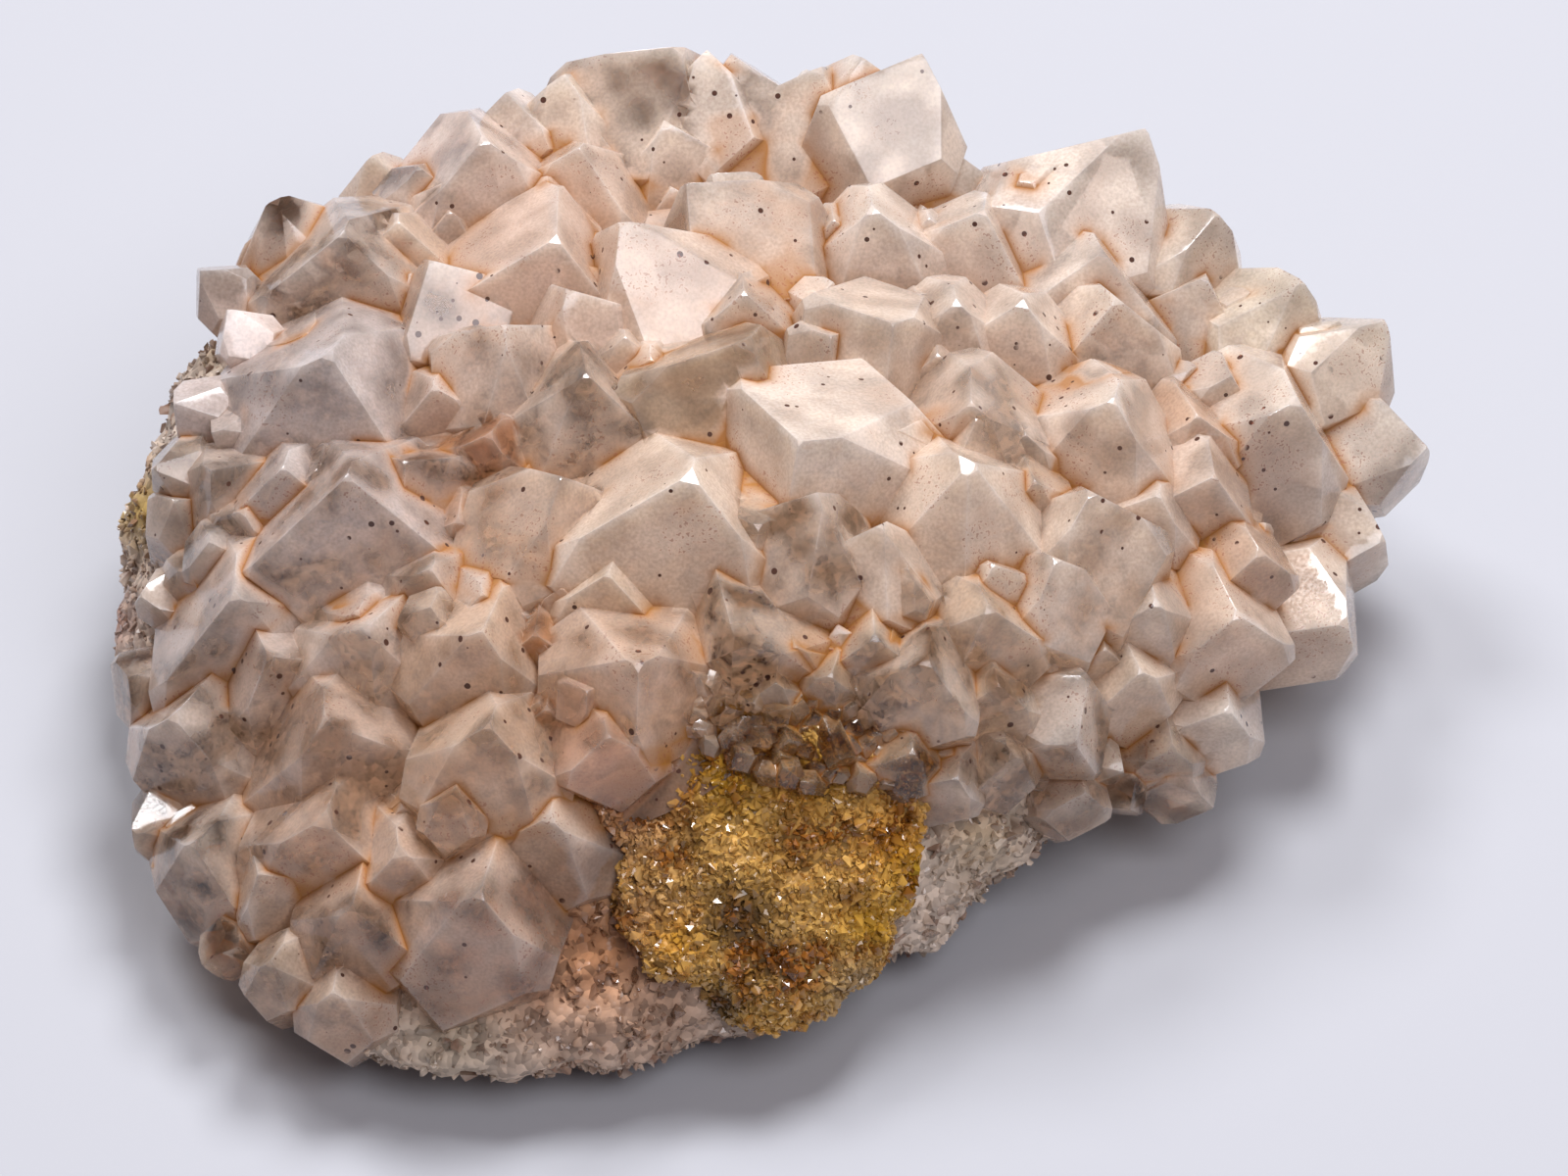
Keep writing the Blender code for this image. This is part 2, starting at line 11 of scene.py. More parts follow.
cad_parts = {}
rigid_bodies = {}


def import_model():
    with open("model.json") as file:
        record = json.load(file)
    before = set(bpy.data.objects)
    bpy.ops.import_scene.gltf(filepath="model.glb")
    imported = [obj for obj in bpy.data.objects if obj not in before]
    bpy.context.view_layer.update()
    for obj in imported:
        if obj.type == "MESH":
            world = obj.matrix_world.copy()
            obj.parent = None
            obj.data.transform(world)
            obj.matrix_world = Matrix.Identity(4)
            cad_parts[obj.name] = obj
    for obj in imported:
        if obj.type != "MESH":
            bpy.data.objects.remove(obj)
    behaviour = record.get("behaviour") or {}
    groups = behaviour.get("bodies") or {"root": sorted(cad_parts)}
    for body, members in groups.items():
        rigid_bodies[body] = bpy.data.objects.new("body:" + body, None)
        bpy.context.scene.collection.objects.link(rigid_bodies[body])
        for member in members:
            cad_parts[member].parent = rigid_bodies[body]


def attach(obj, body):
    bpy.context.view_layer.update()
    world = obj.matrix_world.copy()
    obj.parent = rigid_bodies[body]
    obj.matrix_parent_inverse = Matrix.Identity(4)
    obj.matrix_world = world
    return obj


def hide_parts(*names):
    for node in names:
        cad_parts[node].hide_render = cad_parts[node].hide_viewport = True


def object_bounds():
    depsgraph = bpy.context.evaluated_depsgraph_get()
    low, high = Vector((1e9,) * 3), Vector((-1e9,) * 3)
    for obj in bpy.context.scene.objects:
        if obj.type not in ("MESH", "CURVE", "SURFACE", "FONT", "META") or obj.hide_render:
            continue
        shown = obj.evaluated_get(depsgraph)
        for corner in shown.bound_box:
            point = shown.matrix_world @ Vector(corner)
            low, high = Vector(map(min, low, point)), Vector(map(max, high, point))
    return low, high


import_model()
cadLow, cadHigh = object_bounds()
scene = bpy.context.scene
mm = 0.001
shift = Vector((-0.1, -2.35, 0)) * mm  # brings the box's middle over the origin, as in the solids
print("frame loaded", tuple(round(side / mm, 1) for side in cadHigh - cadLow))


def linear(hexColour):
    # An sRGB hex value as linear red, green, blue and 1.
    parts = [int(hexColour[i:i + 2], 16) / 255 for i in (1, 3, 5)]
    return (*(c / 12.92 if c <= 0.04045 else ((c + 0.055) / 1.055) ** 2.4 for c in parts), 1)


def addNode(tree, kind, settings=None, links=None):
    # One node: its own properties and plain input values from settings, its inputs' sources from links.
    node = tree.nodes.new(kind)
    for name, value in (settings or {}).items():
        if isinstance(name, str) and hasattr(node, name):
            setattr(node, name, value)
        else:
            node.inputs[name].default_value = value
    for name, source in (links or {}).items():
        tree.links.new(source, node.inputs[name])
    return node


view = {"centre": (0.8, -3.5, 15.0), "distance": 330, "down": 45}
viewCentre = Vector(view["centre"]) * mm
viewTilt = math.radians(view["down"])
right = Vector((1, 0, 0))
up = Vector((0, math.sin(viewTilt), math.cos(viewTilt)))
forward = Vector((0, math.cos(viewTilt), -math.sin(viewTilt)))


def onView(points):
    # Where points are seen, in mm right of and above the middle of the view.
    ways = (np.asarray(points) - np.array(viewCentre)) / mm
    depth = 1 + ways @ np.array(forward) / view["distance"]
    return np.stack([ways @ np.array(right) / depth, ways @ np.array(up) / depth], axis=1)


rock = {
    "rings": (
        (-1.4, (14, 15, 13, 12, 12, 13, 15, 18, 20, 22, 26, 21, 16, 14, 12, 13)),
        (3.2, (26, 27, 22, 20.5, 20, 22, 27, 36, 37, 34.5, 39, 34, 25, 22, 19, 21)),
        (9.5, (28, 29.5, 25, 23, 22.5, 24, 30, 37.5, 35, 28, 27, 24, 20.5, 19, 17.5, 20)),
        (14.5, (24, 27, 24, 23, 23, 25, 31, 37, 30, 22, 20, 18, 17, 16, 14.5, 16)),
        (18.8, (11, 15, 18, 20.5, 21.5, 23, 31.5, 33, 20, 14, 12, 11, 10.5, 9.5, 9, 9)),
    ),
    "bottom": -2.0,
    "top": 20.2,
    "roughness": 0.9,
    "lump": 5.0,
    "fineRoughness": 0.35,
    "fineLump": 1.3,
    "levels": 5,
    "inset": -0.3,  # room for the grains on top
}


def newMesh(name, bm):
    mesh = bpy.data.meshes.new(name)
    bm.to_mesh(mesh)
    bm.free()
    return mesh


def newPiece(name, mesh):
    piece = bpy.data.objects.new(name, mesh)
    scene.collection.objects.link(piece)
    return piece


def modified(bm, kind, **settings):
    # The mesh after one modifier.
    helper = newPiece("helper", newMesh("helper", bm))
    modifier = helper.modifiers.new("form", kind)
    for name, value in settings.items():
        setattr(modifier, name, value)
    result = bmesh.new()
    result.from_object(helper, bpy.context.evaluated_depsgraph_get())
    bpy.data.objects.remove(helper)
    return result


def ringPoint(bearing, radius, height):
    turn = 2 * math.pi * bearing / 16
    return Vector((radius * math.cos(turn), radius * math.sin(turn), height))


def lofted(rings, bottom, top):
    bm = bmesh.new()
    loops = [[bm.verts.new(point) for point in ring] for ring in rings]
    for lower, upper in zip(loops, loops[1:]):
        for i in range(len(lower)):
            j = (i + 1) % len(lower)
            bm.faces.new((lower[i], lower[j], upper[j], upper[i]))
    for loop, pole, turned in ((loops[0], bottom, True), (loops[-1], top, False)):
        middle = sum((vert.co for vert in loop), Vector()) / len(loop)
        tip = bm.verts.new((middle.x, middle.y, pole))
        for i in range(len(loop)):
            j = (i + 1) % len(loop)
            bm.faces.new((loop[j], loop[i], tip) if turned else (loop[i], loop[j], tip))
    bmesh.ops.recalc_face_normals(bm, faces=bm.faces[:])
    return bm


def rockForm(extra, levels=2):
    rings = []
    for height, radii in rock["rings"]:
        lift = extra * (1 if height > 15 else 0)
        rings.append([ringPoint(i, r * mm + extra, height * mm + lift) for i, r in enumerate(radii)])
    bm = lofted(rings, rock["bottom"] * mm, rock["top"] * mm + extra)
    return modified(bm, "SUBSURF", levels=levels, render_levels=levels)


def roughened(bm, amount, lump):
    bm.normal_update()
    moves = []
    for vert in bm.verts:
        coarse = noise.noise(vert.co / lump)
        fine = noise.noise(vert.co / lump * 2.7 + Vector((3.1, 5.7, 1.3)))
        moves.append(vert.normal * amount * (coarse + 0.5 * fine))
    for vert, move in zip(bm.verts, moves):
        vert.co += move


def cutFlat(bm, point, normal):
    geometry = bm.verts[:] + bm.edges[:] + bm.faces[:]
    cut = bmesh.ops.bisect_plane(bm, geom=geometry, dist=1e-7, plane_co=point, plane_no=normal, clear_outer=True)
    edges = [item for item in cut["geom_cut"] if isinstance(item, bmesh.types.BMEdge)]
    if edges:
        bmesh.ops.contextual_create(bm, geom=edges)


quartz = {
    "rootLayer": 1.4,
    "rootHeart": 6,
    "rimHeights": (5, 5, 5, 5, 5, 6, 15, 20, 14, 6, 6, 13, 16, 16, 10, 6),
    "pyramidAngle": 51.8,  # between the axis and the line square to a pyramid face
    "largeFaceShare": (0, 0.03),
    "smallFaceShare": (0.03, 0.2),
    "prismShare": 0.61,
    "squashAcross": (0.86, 1.08),
    "squashDeep": (0.9, 1.06),
    "widthShare": 1.36,
    "riseShare": 1.25,
    "leanShare": 0.6,
    "mostLean": 0.85,
    "fillTries": 2600,
    "fillWidth": (4.5, 9.5),
    "fillSpacing": 0.4,
    "fillSeed": 14,
    "pointSeed": 8,
    "smallTries": 5200,
    "smallWidth": (1.8, 4.2),
    "edgeSoftness": 0.035,
    "gridSize": 0.9,
    "waviness": 0.014,
    "lowest": 0.8,
    "bareOval": (0.5, -12.5, 8.8, 8.2),  # the sugary hollow: middle right and up, half width and half height
    "drusyOval": (2.4, -6.2, 7.4, 3.8),  # fine druse above it
    "drusyTries": 3500,
    "drusyWidth": (0.8, 1.9),
}

# Each crystal in view: middle right, middle up, width, tip right, tip up, bearing of one large face, height of the tip.
crystalRows = (
    (-23.7, 9.9, 9.6, -23.0, 11.6, 250, 4.2),
    (-29.0, 5.3, 4.0, -29.2, 6.0, 200, 2.6),
    (-22.4, 2.8, 9.2, -22.3, 5.6, 270, 4.8),
    (-18.8, 5.0, 5.0, -19.3, 6.4, 320, 2.6),
    (-28.4, -2.0, 8.2, -28.2, -0.6, 280, 4.0),
    (-14.6, 11.2, 5.2, -14.2, 13.4, 225, 3.6),
    (-5.9, 2.9, 9.8, -4.6, 5.7, 135, 5.0),
    (2.3, 8.0, 8.2, 0.9, 7.5, 75, 5.0),
    (-2.2, 3.8, 5.0, -1.4, 3.2, 90, 3.0),
    (-10.9, 8.9, 6.6, -10.1, 10.9, 270, 3.6),
    (-12.8, 3.0, 6.0, -11.4, 5.6, 200, 3.8),
    (1.3, 1.3, 5.2, 1.7, 4.8, 240, 4.0),
    (5.3, 0.8, 4.6, 5.0, 3.2, 250, 3.4),
    (9.2, 3.6, 8.6, 9.4, 6.2, 300, 4.8),
    (-1.6, -2.0, 6.0, -2.4, -2.8, 290, 2.8),
    (10.4, 8.6, 6.4, 9.6, 9.4, 270, 3.6),
    (16.5, 8.1, 6.6, 16.8, 9.6, 250, 4.0),
    (16.2, 1.6, 6.2, 15.6, 4.8, 290, 4.0),
    (14.0, -1.1, 5.0, 13.8, 1.4, 300, 3.4),
    (16.3, -3.6, 2.4, 16.4, -3.2, 270, 1.8),
    (14.8, -6.8, 4.2, 14.9, -8.0, 250, 3.2),
    (11.2, -8.9, 3.6, 11.6, -8.6, 290, 2.2),
    (9.0, -10.0, 3.0, 8.8, -9.8, 250, 1.8),
    (25.5, 8.3, 7.4, 26.2, 9.4, 260, 4.2),
    (31.7, 7.2, 4.6, 32.8, 7.2, 300, 3.6),
    (28.8, 3.0, 5.8, 30.6, 2.4, 280, 3.8),
    (27.8, -1.6, 5.2, 28.6, -1.8, 250, 3.2),
    (22.8, -2.6, 5.6, 23.0, -1.4, 280, 3.6),
    (-26.8, -4.4, 5.8, -26.4, -3.6, 300, 3.2),
    (-21.8, -3.8, 6.2, -21.4, -2.2, 240, 3.6),
    (-23.3, -8.5, 8.4, -23.4, -6.8, 285, 4.2),
    (-15.6, -9.4, 6.4, -15.0, -7.0, 260, 4.4),
    (-16.6, -3.3, 5.8, -15.4, -2.2, 250, 4.0),
    (-30.2, -8.0, 6.4, -31.0, -6.6, 250, 3.6),
    (-29.6, -13.8, 5.4, -30.0, -13.0, 240, 3.2),
    (-23.7, -13.0, 7.4, -23.4, -11.9, 260, 3.8),
    (-19.3, -11.2, 2.8, -19.2, -10.6, 270, 1.8),
    (-20.0, -14.6, 5.4, -19.6, -13.6, 280, 3.2),
    (-16.4, -17.2, 6.4, -15.6, -15.8, 255, 4.0),
    (-22.2, -17.0, 5.6, -22.0, -16.4, 265, 3.4),
    (-26.3, -15.3, 3.8, -26.8, -14.6, 300, 2.8),
    (-26.0, -19.6, 3.0, -26.2, -19.2, 250, 2.4),
    (-22.9, -21.0, 3.6, -23.0, -20.6, 270, 2.0),
    (-8.6, -4.6, 6.4, -7.6, -4.0, 90, 4.2),
    (-9.4, -8.2, 4.4, -9.0, -7.6, 280, 3.2),
    (-12.1, -12.9, 5.0, -12.0, -11.8, 260, 2.4),
    (-16.0, 21.5, 7.4, -15.4, 22.8, 280, 4.2),
    (-22.3, 16.9, 7.6, -22.6, 18.0, 265, 3.8),
    (-24.9, 17.8, 5.0, -25.9, 19.7, 250, 3.0),
    (-8.0, 25.3, 8.0, -5.2, 27.4, 230, 4.2),
    (-13.6, 24.0, 3.8, -14.2, 25.2, 270, 3.0),
    (-13.4, 16.2, 8.6, -11.6, 17.6, 260, 3.8),
    (-5.5, 15.5, 7.0, -8.2, 18.5, 310, 4.6),
    (-1.7, 17.8, 6.8, -5.0, 20.6, 320, 4.2),
    (-2.2, 13.8, 5.4, -2.0, 15.0, 270, 3.0),
    (-3.8, 9.6, 7.6, -1.9, 12.4, 245, 4.4),
    (4.5, 13.5, 5.6, 5.6, 13.4, 210, 3.8),
    (-10.2, 13.0, 5.2, -11.0, 15.1, 300, 3.2),
    (15.5, 20.0, 7.4, 18.5, 23.3, 240, 5.0),
    (21.0, 18.2, 4.8, 22.0, 19.0, 280, 3.2),
    (15.8, 16.0, 7.0, 16.4, 17.0, 265, 3.6),
    (21.2, 14.4, 5.4, 21.4, 15.8, 250, 3.4),
    (25.5, 14.4, 4.8, 26.4, 15.6, 270, 3.2),
    (29.3, 12.0, 4.6, 30.6, 13.6, 240, 3.4),
    (-1.4, 25.0, 7.4, -2.6, 26.9, 280, 4.0),
    (1.6, 24.8, 6.4, 1.8, 26.4, 250, 3.8),
    (5.6, 25.0, 6.0, 6.9, 27.2, 250, 3.8),
    (8.4, 21.3, 6.4, 8.0, 22.6, 280, 3.6),
    (3.0, 22.2, 6.2, 3.0, 23.6, 260, 3.6),
    (-5.8, 22.2, 6.2, -6.0, 23.6, 285, 3.4),
    (-11.0, 24.6, 5.6, -11.2, 26.2, 260, 3.4),
    (-3.8, 25.6, 5.4, -4.0, 27.3, 270, 3.6),
    (3.8, 25.4, 5.2, 4.0, 27.0, 280, 3.6),
    (-10.6, 21.2, 5.4, -10.4, 22.4, 255, 3.4),
    (-20.8, 21.2, 3.4, -21.0, 22.0, 270, 2.6),
    (5.0, 17.8, 6.4, 4.6, 19.2, 275, 3.4),
    (9.6, 18.0, 5.4, 10.2, 19.2, 250, 3.2),
    (8.7, 13.6, 4.6, 8.8, 14.4, 270, 2.8),
    (7.9, 11.2, 3.4, 7.8, 11.8, 270, 1.6),
    (12.3, 13.2, 5.2, 12.2, 14.4, 260, 3.0),
    (16.8, 13.0, 6.2, 17.0, 14.6, 280, 3.2),
    (21.2, 8.0, 4.6, 21.0, 8.8, 280, 2.4),
    (21.8, 4.9, 4.6, 22.0, 5.6, 260, 2.8),
    (23.9, 1.0, 4.4, 24.2, 1.8, 280, 3.0),
    (19.2, 3.6, 4.4, 19.2, 4.6, 250, 2.4),
    (18.9, -1.6, 4.4, 19.0, -0.8, 270, 3.0),
    (18.1, -5.0, 4.4, 18.2, -4.4, 285, 2.6),
    (22.6, -7.0, 4.8, 22.8, -6.2, 260, 2.8),
    (24.4, -8.6, 2.8, 24.6, -8.4, 270, 2.0),
    (19.8, -8.6, 3.8, 19.8, -8.2, 270, 2.0),
    (10.4, -2.2, 5.8, 10.6, -1.0, 280, 3.4),
    (7.5, -5.0, 5.0, 7.2, -3.8, 255, 3.2),
    (11.0, -5.8, 4.4, 11.0, -5.0, 270, 2.6),
    (6.5, -8.8, 3.2, 6.6, -8.4, 260, 1.8),
    (15.3, -10.9, 2.8, 15.4, -10.4, 270, 1.8),
    (4.8, -3.2, 4.4, 4.6, -2.6, 270, 2.2),
    (0.6, -3.4, 2.8, 0.6, -3.0, 280, 1.8),
    (2.4, -4.9, 2.8, 2.4, -4.5, 250, 1.7),
    (-0.4, -5.2, 2.4, -0.4, -4.8, 270, 1.5),
    (-5.2, -4.6, 3.0, -5.0, -4.0, 270, 1.8),
    (-8.9, -0.4, 5.0, -8.9, 0.6, 260, 2.6),
    (-12.6, -3.0, 4.2, -12.6, -2.4, 270, 1.8),
    (-12.0, -6.8, 3.4, -12.0, -6.2, 270, 1.6),
    (-15.1, 7.0, 4.6, -15.1, 7.8, 250, 2.0),
    (-17.8, 9.6, 3.8, -17.8, 10.2, 280, 1.8),
    (-16.8, 14.0, 5.6, -18.1, 16.6, 300, 3.2),
    (-16.6, 3.0, 3.4, -16.6, 3.4, 270, 1.4),
    (-19.8, 17.6, 4.0, -19.6, 18.6, 270, 2.8),
    (-17.6, 19.8, 3.6, -17.4, 20.6, 250, 2.6),
    (-12.2, 19.4, 3.8, -12.0, 20.6, 270, 2.6),
    (-8.3, 12.0, 2.8, -8.1, 12.8, 270, 2.2),
    (-6.9, 10.9, 3.6, -6.8, 11.6, 270, 2.2),
    (-18.4, 0.2, 4.4, -18.0, 0.9, 250, 2.8),
    (-15.8, -0.9, 3.8, -15.4, -0.3, 280, 2.6),
    (-22.0, -1.6, 4.6, -21.8, -1.2, 250, 2.8),
    (-27.6, 3.3, 3.4, -27.6, 3.9, 240, 2.4),
    (-30.2, 0.4, 3.4, -30.2, 0.8, 230, 2.0),
    (-32.8, -5.2, 3.4, -33.4, -4.6, 200, 2.4),
    (12.4, 7.2, 3.4, 12.4, 7.8, 270, 2.2),
    (12.9, 4.8, 3.6, 12.8, 5.4, 280, 2.4),
)


def rimHeight(place):
    share = math.atan2(place.y, place.x) / (2 * math.pi) % 1 * 16
    low = int(share) % 16
    part = share - int(share)
    heights = quartz["rimHeights"]
    return (heights[low] * (1 - part) + heights[(low + 1) % 16] * part) * mm


def tipAboveRoot(root, seenRight, seenUp, rise):
    eye = viewCentre - forward * view["distance"] * mm
    way = (viewCentre + right * seenRight * mm + up * seenUp * mm - eye).normalized()
    best = None
    for step in range(700):
        point = eye + way * (290 + step * 0.12) * mm
        place, normal, _, distance = root.find_nearest(point)
        if best is None or distance < best[3]:
            best = (point, place, normal, distance)
        if distance <= rise:
            break
    return best


def crystalPlan(root):
    # Tip, axis, the way its large face looks, width and rise of each crystal, first the listed, then the scattered ones.
    rng = random.Random(quartz["fillSeed"])
    plan = []
    for midRight, midUp, width, tipRight, tipUp, bearing, rise in crystalRows:
        rise *= quartz["riseShare"]
        width *= quartz["widthShare"]
        tip, place, normal, _ = tipAboveRoot(root, tipRight, tipUp, rise * mm)
        lean = Vector((tipRight - midRight, tipUp - midUp)) / (0.5 * width)
        if lean.length > quartz["mostLean"]:
            lean *= quartz["mostLean"] / lean.length
        seenAxis = right * lean.x + up * lean.y - forward * math.sqrt(1 - lean.length_squared)
        axis = (seenAxis * quartz["leanShare"] + normal * (1 - quartz["leanShare"])).normalized()
        turn = math.radians(bearing)
        plan.append((tip, axis, right * math.cos(turn) + up * math.sin(turn), width * mm, rise * mm, place))
    spots = [(place, width) for _, _, _, width, _, place in plan]
    for _ in range(quartz["fillTries"]):
        turn = rng.uniform(0, 2 * math.pi)
        tilt = rng.uniform(-0.35, 1)
        way = Vector((math.cos(turn), math.sin(turn), tilt)).normalized()
        width = rng.uniform(*quartz["fillWidth"]) * mm
        swing = Vector((rng.gauss(0, spread) for spread in (0.22, 0.22, 0.12)))
        place, normal, _, _ = root.ray_cast(Vector((0, 0, 10)) * mm, way)
        if place is None or place.z < rimHeight(place) + 0.2 * width:
            continue
        if any((place - other).length < quartz["fillSpacing"] * (width + wide) for other, wide in spots):
            continue
        axis = (normal + swing).normalized()
        rise = 0.55 * width + rng.uniform(0, 1 * mm)
        spots.append((place, width))
        plan.append((place + axis * rise, axis, swing.cross(axis) + swing, width, rise, place))
    return plan


def inOval(place, oval):
    middleRight, middleUp, halfRight, halfUp = oval
    return ((place[0] - middleRight) / halfRight) ** 2 + ((place[1] - middleUp) / halfUp) ** 2 < 1


def smallCrystals(root, plan):
    # Little points that fill the hollows between the big ones.
    rng = random.Random(41)
    spots = [(place, width) for _, _, _, width, _, place in plan]
    small = []
    for _ in range(quartz["smallTries"]):
        turn = rng.uniform(0, 2 * math.pi)
        tilt = rng.uniform(-0.35, 1.4)
        way = Vector((math.cos(turn), math.sin(turn), tilt)).normalized()
        width = rng.uniform(*quartz["smallWidth"]) * mm
        swing = Vector((rng.gauss(0, 0.35), rng.gauss(0, 0.35), rng.gauss(0, 0.2)))
        place, normal, _, _ = root.ray_cast(Vector((0, 0, 10)) * mm, way)
        if place is None or place.z < rimHeight(place) - 0.2 * width:
            continue
        if any((place - other).length < 0.36 * (width + wide) for other, wide in spots):
            continue
        if inOval(onView([place])[0], quartz["bareOval"]):
            continue
        axis = (normal + swing).normalized()
        rise = 0.75 * width + rng.uniform(0, 0.5 * mm)
        spots.append((place, width))
        small.append((place + axis * rise, axis, swing.cross(axis) + swing, width, rise, place))
    return small


def drusyCrystals(root):
    # A field of very small points above the sugary hollow.
    rng = random.Random(52)
    middleRight, middleUp, halfRight, halfUp = quartz["drusyOval"]
    eye = viewCentre - forward * view["distance"] * mm
    spots = []
    for _ in range(quartz["drusyTries"]):
        turn = rng.uniform(0, 2 * math.pi)
        reach = math.sqrt(rng.uniform(0, 1))
        seenRight = middleRight + halfRight * reach * math.cos(turn)
        seenUp = middleUp + halfUp * reach * math.sin(turn)
        way = viewCentre + right * seenRight * mm + up * seenUp * mm - eye
        place, normal, _, _ = root.ray_cast(eye, way.normalized())
        width = rng.uniform(*quartz["drusyWidth"]) * mm
        if place is None or any((place - other).length < 0.34 * (width + wide) for other, wide in spots):
            continue
        spots.append((place, width))
    drusy = []
    for place, width in spots:
        normal = root.find_nearest(place)[1]
        axis = (normal + Vector((rng.gauss(0, 0.5), rng.gauss(0, 0.5), rng.gauss(0, 0.5)))).normalized()
        rise = 0.7 * width + rng.uniform(0, 0.5) * mm
        drusy.append((place + axis * rise, axis, axis.orthogonal(), width, rise, place))
    return drusy


def sideCrystals(plan):
    # Smaller points in parallel growth on the flanks of the big ones.
    rng = random.Random(77)
    sides = []
    for tip, axis, faceWay, width, rise, place in plan:
        if width < 6 * mm or rng.random() < 0.35:
            continue
        for _ in range(rng.choice((1, 1, 2))):
            across = axis.orthogonal().normalized()
            across.rotate(Quaternion(axis, rng.uniform(0, 2 * math.pi)))
            part = rng.uniform(0.3, 0.5)
            drop = rng.uniform(0.2, 0.34) * width
            sideTip = tip + across * width * rng.uniform(0.26, 0.4) - axis * drop
            sides.append((sideTip, axis, faceWay, width * part, max(rise - drop, 1 * mm), place))
    return sides


def quartzPoint(width, length, tip, axis, faceWay, rng):
    bm = bmesh.new()
    radius = width * quartz["prismShare"]
    bmesh.ops.create_cone(bm, segments=6, radius1=radius, radius2=radius, depth=length, cap_ends=True)
    squash = Matrix.Diagonal((rng.uniform(*quartz["squashAcross"]), rng.uniform(*quartz["squashDeep"]), 1, 1))
    bmesh.ops.transform(bm, matrix=squash @ Matrix.Translation((0, 0, -length / 2)), verts=bm.verts[:])
    tilt = math.radians(quartz["pyramidAngle"])
    for k in range(6):
        turn = math.radians(30 + 60 * k)
        normal = Vector((math.cos(turn), math.sin(turn), 0)) * math.sin(tilt)
        normal.z = math.cos(tilt)
        out = rng.uniform(*quartz["smallFaceShare" if k % 2 else "largeFaceShare"]) * width
        cutFlat(bm, normal * out, normal)
    side = (faceWay - axis * faceWay.dot(axis)).normalized()
    turned = Matrix((side, axis.cross(side), axis)).transposed().to_4x4()
    turned.translation = tip
    bmesh.ops.transform(bm, matrix=turned @ Matrix.Rotation(math.radians(-30), 4, "Z"), verts=bm.verts[:])
    cutFlat(bm, Vector((0, 0, quartz["lowest"] * mm)), Vector((0, 0, -1)))
    return bm


def planesOf(bm):
    bm.normal_update()
    faces = [face for face in bm.faces if face.calc_area() > 1e-10]
    normals = np.array([face.normal[:] for face in faces])
    offsets = np.array([face.normal.dot(face.verts[0].co) for face in faces])
    points = np.array([vert.co[:] for vert in bm.verts])
    middle = points.mean(0)
    return {"normals": normals, "offsets": offsets, "middle": middle,
            "reach": np.linalg.norm(points - middle, axis=1).max()}


def softened(sharp, size, wave):
    # Rounds the edges a little, splits the faces into a grid and gives them the slight waves of growth.
    for share in (1, 0.8, 0.6, 0.4, 0):
        bm = sharp.copy()
        if share:
            bmesh.ops.bevel(bm, geom=bm.edges[:], offset=size * share, segments=2, profile=0.6, affect="EDGES", clamp_overlap=True)
            bmesh.ops.dissolve_degenerate(bm, dist=0.002 * mm, edges=bm.edges[:])
        bmesh.ops.triangulate(bm, faces=bm.faces[:])
        for _ in range(4):
            longEdges = [edge for edge in bm.edges if edge.calc_length() > quartz["gridSize"] * mm * 1.3]
            if not longEdges:
                break
            bmesh.ops.subdivide_edges(bm, edges=longEdges, cuts=1)
            bmesh.ops.triangulate(bm, faces=bm.faces[:])
        if all(len(edge.link_faces) == 2 for edge in bm.edges):
            break
        bm.free()
    else:
        bm = sharp.copy()
    bm.normal_update()
    for vert in bm.verts:
        broad = noise.noise(vert.co / (2.4 * mm))
        fine = noise.noise(vert.co / (0.8 * mm) + Vector((7, 1, 4)))
        vert.co += vert.normal * wave * (broad + 0.35 * fine)
    return bm


def rootLayer():
    form = BVHTree.FromBMesh(rockForm(quartz["rootLayer"] * mm))
    heart = Vector((0, 0, quartz["rootHeart"])) * mm
    rings = []
    for share in (0, 0.18, 0.36, 0.55, 0.75, 0.92):
        ring = []
        for i in range(32):
            way = ringPoint(i / 2, 1, 0)
            rim = form.ray_cast(Vector((0, 0, rimHeight(way))), way)[0] - heart
            low = math.atan2(rim.z, rim.xy.length)
            tilt = low + share * (math.pi / 2 - low)
            ring.append(form.ray_cast(heart, way * math.cos(tilt) + Vector((0, 0, math.sin(tilt))))[0])
        rings.append(ring)
    crown = form.ray_cast(heart, Vector((0, 0, 1)))[0]
    return lofted(rings, heart.z, crown.z)


def grownTogether(base, bodies):
    # One closed solid of all the bodies.
    group = bpy.data.collections.new("points")
    scene.collection.children.link(group)
    for bm in bodies:
        group.objects.link(bpy.data.objects.new("point", newMesh("point", bm)))
    whole = newPiece("whole", newMesh("whole", base))
    modifier = whole.modifiers.new("join", "BOOLEAN")
    modifier.operation = "UNION"
    modifier.operand_type = "COLLECTION"
    modifier.collection = group
    modifier.solver = "MANIFOLD"
    mesh = bpy.data.meshes.new_from_object(whole.evaluated_get(bpy.context.evaluated_depsgraph_get()))
    for helper in [whole, *group.objects]:
        bpy.data.objects.remove(helper)
    bpy.data.collections.remove(group)
    return mesh


def mainBody(mesh):
    # The largest connected body: loose points that touch nothing are dropped.
    bm = bmesh.new()
    bm.from_mesh(mesh)
    left, bodies = set(bm.verts), []
    while left:
        front = [left.pop()]
        body = list(front)
        while front:
            for edge in front.pop().link_edges:
                for vert in edge.verts:
                    if vert in left:
                        left.discard(vert)
                        body.append(vert)
                        front.append(vert)
        bodies.append(body)
    bodies.sort(key=len)
    loose = [vert for body in bodies[:-1] for vert in body]
    bmesh.ops.delete(bm, geom=loose, context="VERTS")
    bm.to_mesh(mesh)
    bm.free()
    print("dropped", len(bodies) - 1, "loose bodies,", len(loose), "corners")


